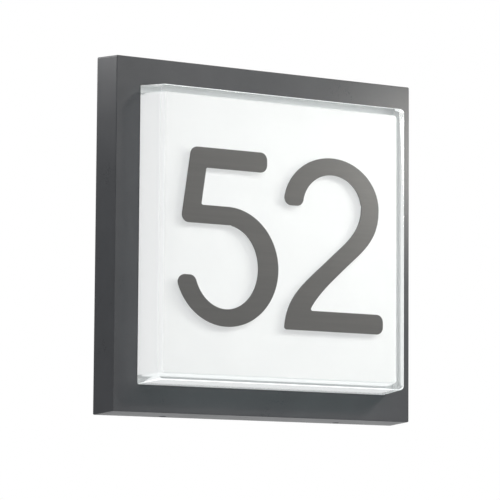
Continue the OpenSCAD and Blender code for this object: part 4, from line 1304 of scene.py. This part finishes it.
@dataclass
class LightSource(SubAssembly):
    """The tray, the board, its conductors and the light chips.

    A chip's edge is cut off by so much inwards and down. The resin's dome is a
    share of the lens's radius and how far below the chip's top it lies there.
    """

    rows: int = 6
    pitch: float = 26.0
    chip: float = 3.0
    chip_height: float = 0.7
    chip_edge: tuple[float, float] = (0.1, 0.12)
    lens: float = 1.15
    lens_rim: float = 0.1
    lens_drop: float = 0.15
    lens_dome: tuple[tuple[float, float], ...] = ((0.7, 0.07), (0.3, 0.04))
    lens_sides: int = 16
    board_front: float = 29.8
    trace_width: float = 2.2
    trace_height: float = 0.05
    trace_gap: float = 0.6
    trace_corner: float = 0.5
    trace_corner_steps: int = 3
    smooth_angle: float = 25.0

    DRESSED: ClassVar[dict[str, Finish]] = {
        "lamp_board": Finishes.BOARD_MASK,
        "board_connector": Finishes.WHITE_MOULDING,
        "board_screws": Finishes.PLATED_STEEL,
        "reflector_tray": Finishes.WHITE_COAT,
        "tray_screws": Finishes.PLATED_STEEL,
        "tray_grommet": Finishes.BLACK_RUBBER,
    }

    def places(self) -> list[float]:
        """Places of the chips along a row."""
        return [(i - (self.rows - 1) / 2) * self.pitch for i in range(self.rows)]

    def _loop(self, distance: float, half: float, round_share: float) -> list[Vector]:
        """A loop between a square and a circle round the middle of a chip.

        Args:
            distance: distance from the wall.
            half: half width of the loop.
            round_share: 0 for a square, 1 for a circle.

        Returns:
            The points, in millimetres.
        """
        points = []
        for k in range(self.lens_sides):
            turn = 2 * math.pi * (k + 0.5) / self.lens_sides
            reach = max(abs(math.cos(turn)), abs(math.sin(turn)))
            radius = half * (round_share + (1 - round_share) / reach)
            points.append(Vector((radius * math.cos(turn), -distance, radius * math.sin(turn))))
        return points

    def _chips(self) -> bmesh.types.BMesh:
        """The chips: white bodies, each with a slightly domed resin window.

        Returns:
            The mesh.
        """
        half, top = self.chip / 2, self.board_front + self.chip_height
        inwards, down = self.chip_edge
        body = [
            self._loop(self.board_front, half, 0.0),
            self._loop(top - down, half, 0.0),
            self._loop(top, half - inwards, 0.0),
            self._loop(top, self.lens + self.lens_rim, 1.0),
            self._loop(top - self.lens_drop, self.lens, 1.0),
        ]
        window = [self._loop(top - drop, self.lens * share, 1.0) for share, drop in self.lens_dome]
        mesh = bmesh.new()
        for x in self.places():
            for z in self.places():
                middle = Vector((x, 0.0, z))
                rings = [ring_of(mesh, [(middle + point) * MM for point in loop]) for loop in body + window]
                bridge(mesh, rings[:len(body)])
                bridge(mesh, rings[len(body) - 1:], 1)
                mesh.faces.new(rings[0])
                mesh.faces.new(rings[-1]).material_index = 1
        return mesh

    def _bar(self, mesh: bmesh.types.BMesh, x: float, z: float, width: float, height: float) -> None:
        """One flat conductor with rounded corners.

        Args:
            mesh: the mesh that gets it.
            x: its middle's place across.
            z: its middle's place up.
            width: its size across.
            height: its size up.
        """
        size = Vector((width, self.trace_height, height)) * MM
        middle = Vector((x, -self.board_front - self.trace_height / 2, z)) * MM
        place = Matrix.Translation(middle) @ Matrix.Diagonal((*size, 1.0))
        made = bmesh.ops.create_cube(mesh, size=1.0, matrix=place)
        edges = dict.fromkeys(e for v in made["verts"] for e in v.link_edges)
        corners = [e for e in edges if abs((e.verts[0].co - e.verts[1].co).y) > 0.5 * size.y]
        bmesh.ops.bevel(mesh, geom=corners, offset=self.trace_corner * MM, segments=self.trace_corner_steps,
                        profile=0.5, affect="EDGES")

    def _conductors(self) -> bmesh.types.BMesh:
        """Flat conductors that join the chips of each row and step from row to row.

        Returns:
            The mesh.
        """
        mesh = bmesh.new()
        places = self.places()
        length = self.pitch - self.chip - self.trace_gap
        for i, z in enumerate(places):
            for a, b in zip(places, places[1:]):
                self._bar(mesh, (a + b) / 2, z, length, self.trace_width)
            if i + 1 < len(places):
                side = places[-1] if i % 2 == 0 else places[0]
                self._bar(mesh, side, z + self.pitch / 2, self.trace_width, length)
        return mesh

    def make(self) -> None:
        """Makes the chips and the conductors."""
        chip_coats = [Finishes.CHIP_BODY, Finishes.CHIP_RESIN]
        self.add("light_chip_rows", self._chips(), chip_coats, "light_chips", "chip_resin",
                 self.smooth_angle, even_flats=False)
        self.add("board_conductors", self._conductors(), [Finishes.BOARD_TRACE], None, "board_mask",
                 self.smooth_angle, even_flats=False)


# The studio


@dataclass(frozen=True)
class SoftLight:
    """An area light aimed at the object. Its place and size are metres, its power is watts."""

    name: str
    place: Place
    size: tuple[float, float]
    power: float
    colour: Colour = (1.0, 1.0, 1.0)
    aim: Place = (0.0, -0.03, 0.0)

    def build(self) -> None:
        """Makes the light."""
        data = bpy.data.lights.new(self.name, "AREA")
        data.shape = "RECTANGLE"
        data.size, data.size_y = self.size
        data.energy = self.power
        data.color = self.colour
        light = bpy.data.objects.new(self.name, data)
        light.location = self.place
        light.rotation_euler = (Vector(self.aim) - Vector(self.place)).to_track_quat("-Z", "Y").to_euler()
        bpy.context.scene.collection.objects.link(light)


WARM: Colour = (1.0, 0.978, 0.93)
COOL: Colour = (0.965, 0.99, 1.03)


@dataclass
class Studio:
    """Camera, pale floor, background and lights. Distances are metres, angles are degrees.

    The camera's values were fitted to the straight edges in the photo.
    """

    azimuth: float = -31.8999
    elevation: float = -6.1558
    roll: float = 0.3994
    distance: float = 2.47288
    aside: float = 0.0022224
    lift: float = -0.0031841
    lens: float = 206.662
    sensor: float = 36.0
    near: float = 0.1
    far: float = 50.0
    floor_height: float = -0.62
    floor_half: float = 6.0
    floor_cells: int = 8
    floor_lift: float = 0.5
    background: Colour = (1.0, 1.0, 1.0)
    surround: float = 0.239

    LIGHTS: ClassVar[list[SoftLight]] = [
        SoftLight("key_window", (0.401, -0.395, 0.135), (0.08, 0.12), 0.22, WARM),
        SoftLight("key_surround", (0.435, -0.392, 0.153), (0.12, 0.16), 0.67, WARM),
        SoftLight("upper_right", (0.68, -1.2, 0.7), (0.16, 0.16), 4.6, WARM),
        SoftLight("front_fill", (-0.3, -2.0, 0.8), (0.8, 0.8), 10.5),
        SoftLight("left_edge", (-0.74, 0.77, 0.55), (0.3, 0.4), 3.97),
        SoftLight("back_glow", (0.9, 1.2, 0.1), (1.2, 1.2), 3.47),
    ]

    def camera(self) -> None:
        """Makes the camera at the photograph's viewing angle."""
        around, above, tilt = (math.radians(a) for a in (self.azimuth, self.elevation, self.roll))
        level = math.cos(above)
        back = Vector((math.sin(around) * level, -math.cos(around) * level, math.sin(above)))
        right = Vector((0.0, 0.0, 1.0)).cross(back).normalized()
        up = back.cross(right)
        turned_right = math.cos(tilt) * right + math.sin(tilt) * up
        turned_up = math.cos(tilt) * up - math.sin(tilt) * right
        place = back * self.distance + turned_right * self.aside + turned_up * self.lift
        data = bpy.data.cameras.new("photo_camera")
        data.sensor_width = self.sensor
        data.lens = self.lens
        data.clip_start, data.clip_end = self.near, self.far
        camera = bpy.data.objects.new("photo_camera", data)
        rotation = Matrix((turned_right, turned_up, back)).transposed().to_4x4()
        camera.matrix_world = Matrix.Translation(place) @ rotation
        bpy.context.scene.collection.objects.link(camera)
        bpy.context.scene.camera = camera

    def floor(self) -> None:
        """Makes the pale floor well below the light. The camera sees it a little brighter than it is."""
        mesh = bmesh.new()
        cells = self.floor_cells
        bmesh.ops.create_grid(mesh, x_segments=cells, y_segments=cells, size=self.floor_half)
        data = bpy.data.meshes.new("pale_floor")
        mesh.to_mesh(data)
        mesh.free()
        material = Finishes.PALE_FLOOR.build()
        sheet = NodeSheet(material.node_tree)
        shader = material.node_tree.nodes["Principled BSDF"]
        seen = sheet.add("ShaderNodeLightPath").outputs["Is Camera Ray"]
        sheet.feed(shader.inputs["Emission Strength"], sheet.math("MULTIPLY", seen, self.floor_lift))
        sheet.feed(shader.inputs["Emission Color"], (1.0, 1.0, 1.0, 1.0))
        data.materials.append(material)
        floor = bpy.data.objects.new("pale_floor", data)
        floor.location = (0.0, 0.0, self.floor_height)
        bpy.context.scene.collection.objects.link(floor)

    def surroundings(self) -> None:
        """Makes the world: white where the camera looks, softer as a light."""
        world = bpy.data.worlds.new("white_surround")
        world.use_nodes = True
        bpy.context.scene.world = world
        sheet = NodeSheet(world.node_tree)
        world.node_tree.nodes.clear()
        seen = sheet.add("ShaderNodeBackground", None, {"Color": (*self.background, 1.0), "Strength": 1.0})
        lit = sheet.add("ShaderNodeBackground", None, {"Color": (*COOL, 1.0), "Strength": self.surround})
        path = sheet.add("ShaderNodeLightPath").outputs["Is Camera Ray"]
        mixed = sheet.add("ShaderNodeMixShader", None, {0: path, 1: lit.outputs[0], 2: seen.outputs[0]})
        sheet.add("ShaderNodeOutputWorld", None, {"Surface": mixed.outputs[0]})

    def build(self) -> None:
        """Makes the whole studio."""
        self.camera()
        self.floor()
        self.surroundings()
        for light in self.LIGHTS:
            light.build()
        view = bpy.context.scene.view_settings
        view.view_transform = "Standard"
        view.look = "None"


def main() -> None:
    """Builds every sub-assembly and the studio."""
    logging.basicConfig(level=logging.INFO, format="%(name)s %(message)s", stream=sys.stdout)
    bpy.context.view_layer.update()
    Studio().build()
    assemblies: list[SubAssembly] = [
        Cover(),
        GlassDish(),
        NumberPlates(),
        LockingScrew(),
        LockingScrew(body=Body.RIGHT_LOCK, node="lock_screw_right"),
        BasePan(),
        MainsConnection(),
        LampDriver(),
        LightSource(),
    ]
    for assembly in assemblies:
        assembly.build()
        LOG.info("%s is done", type(assembly).__name__)


if __name__ == "__main__":
    main()
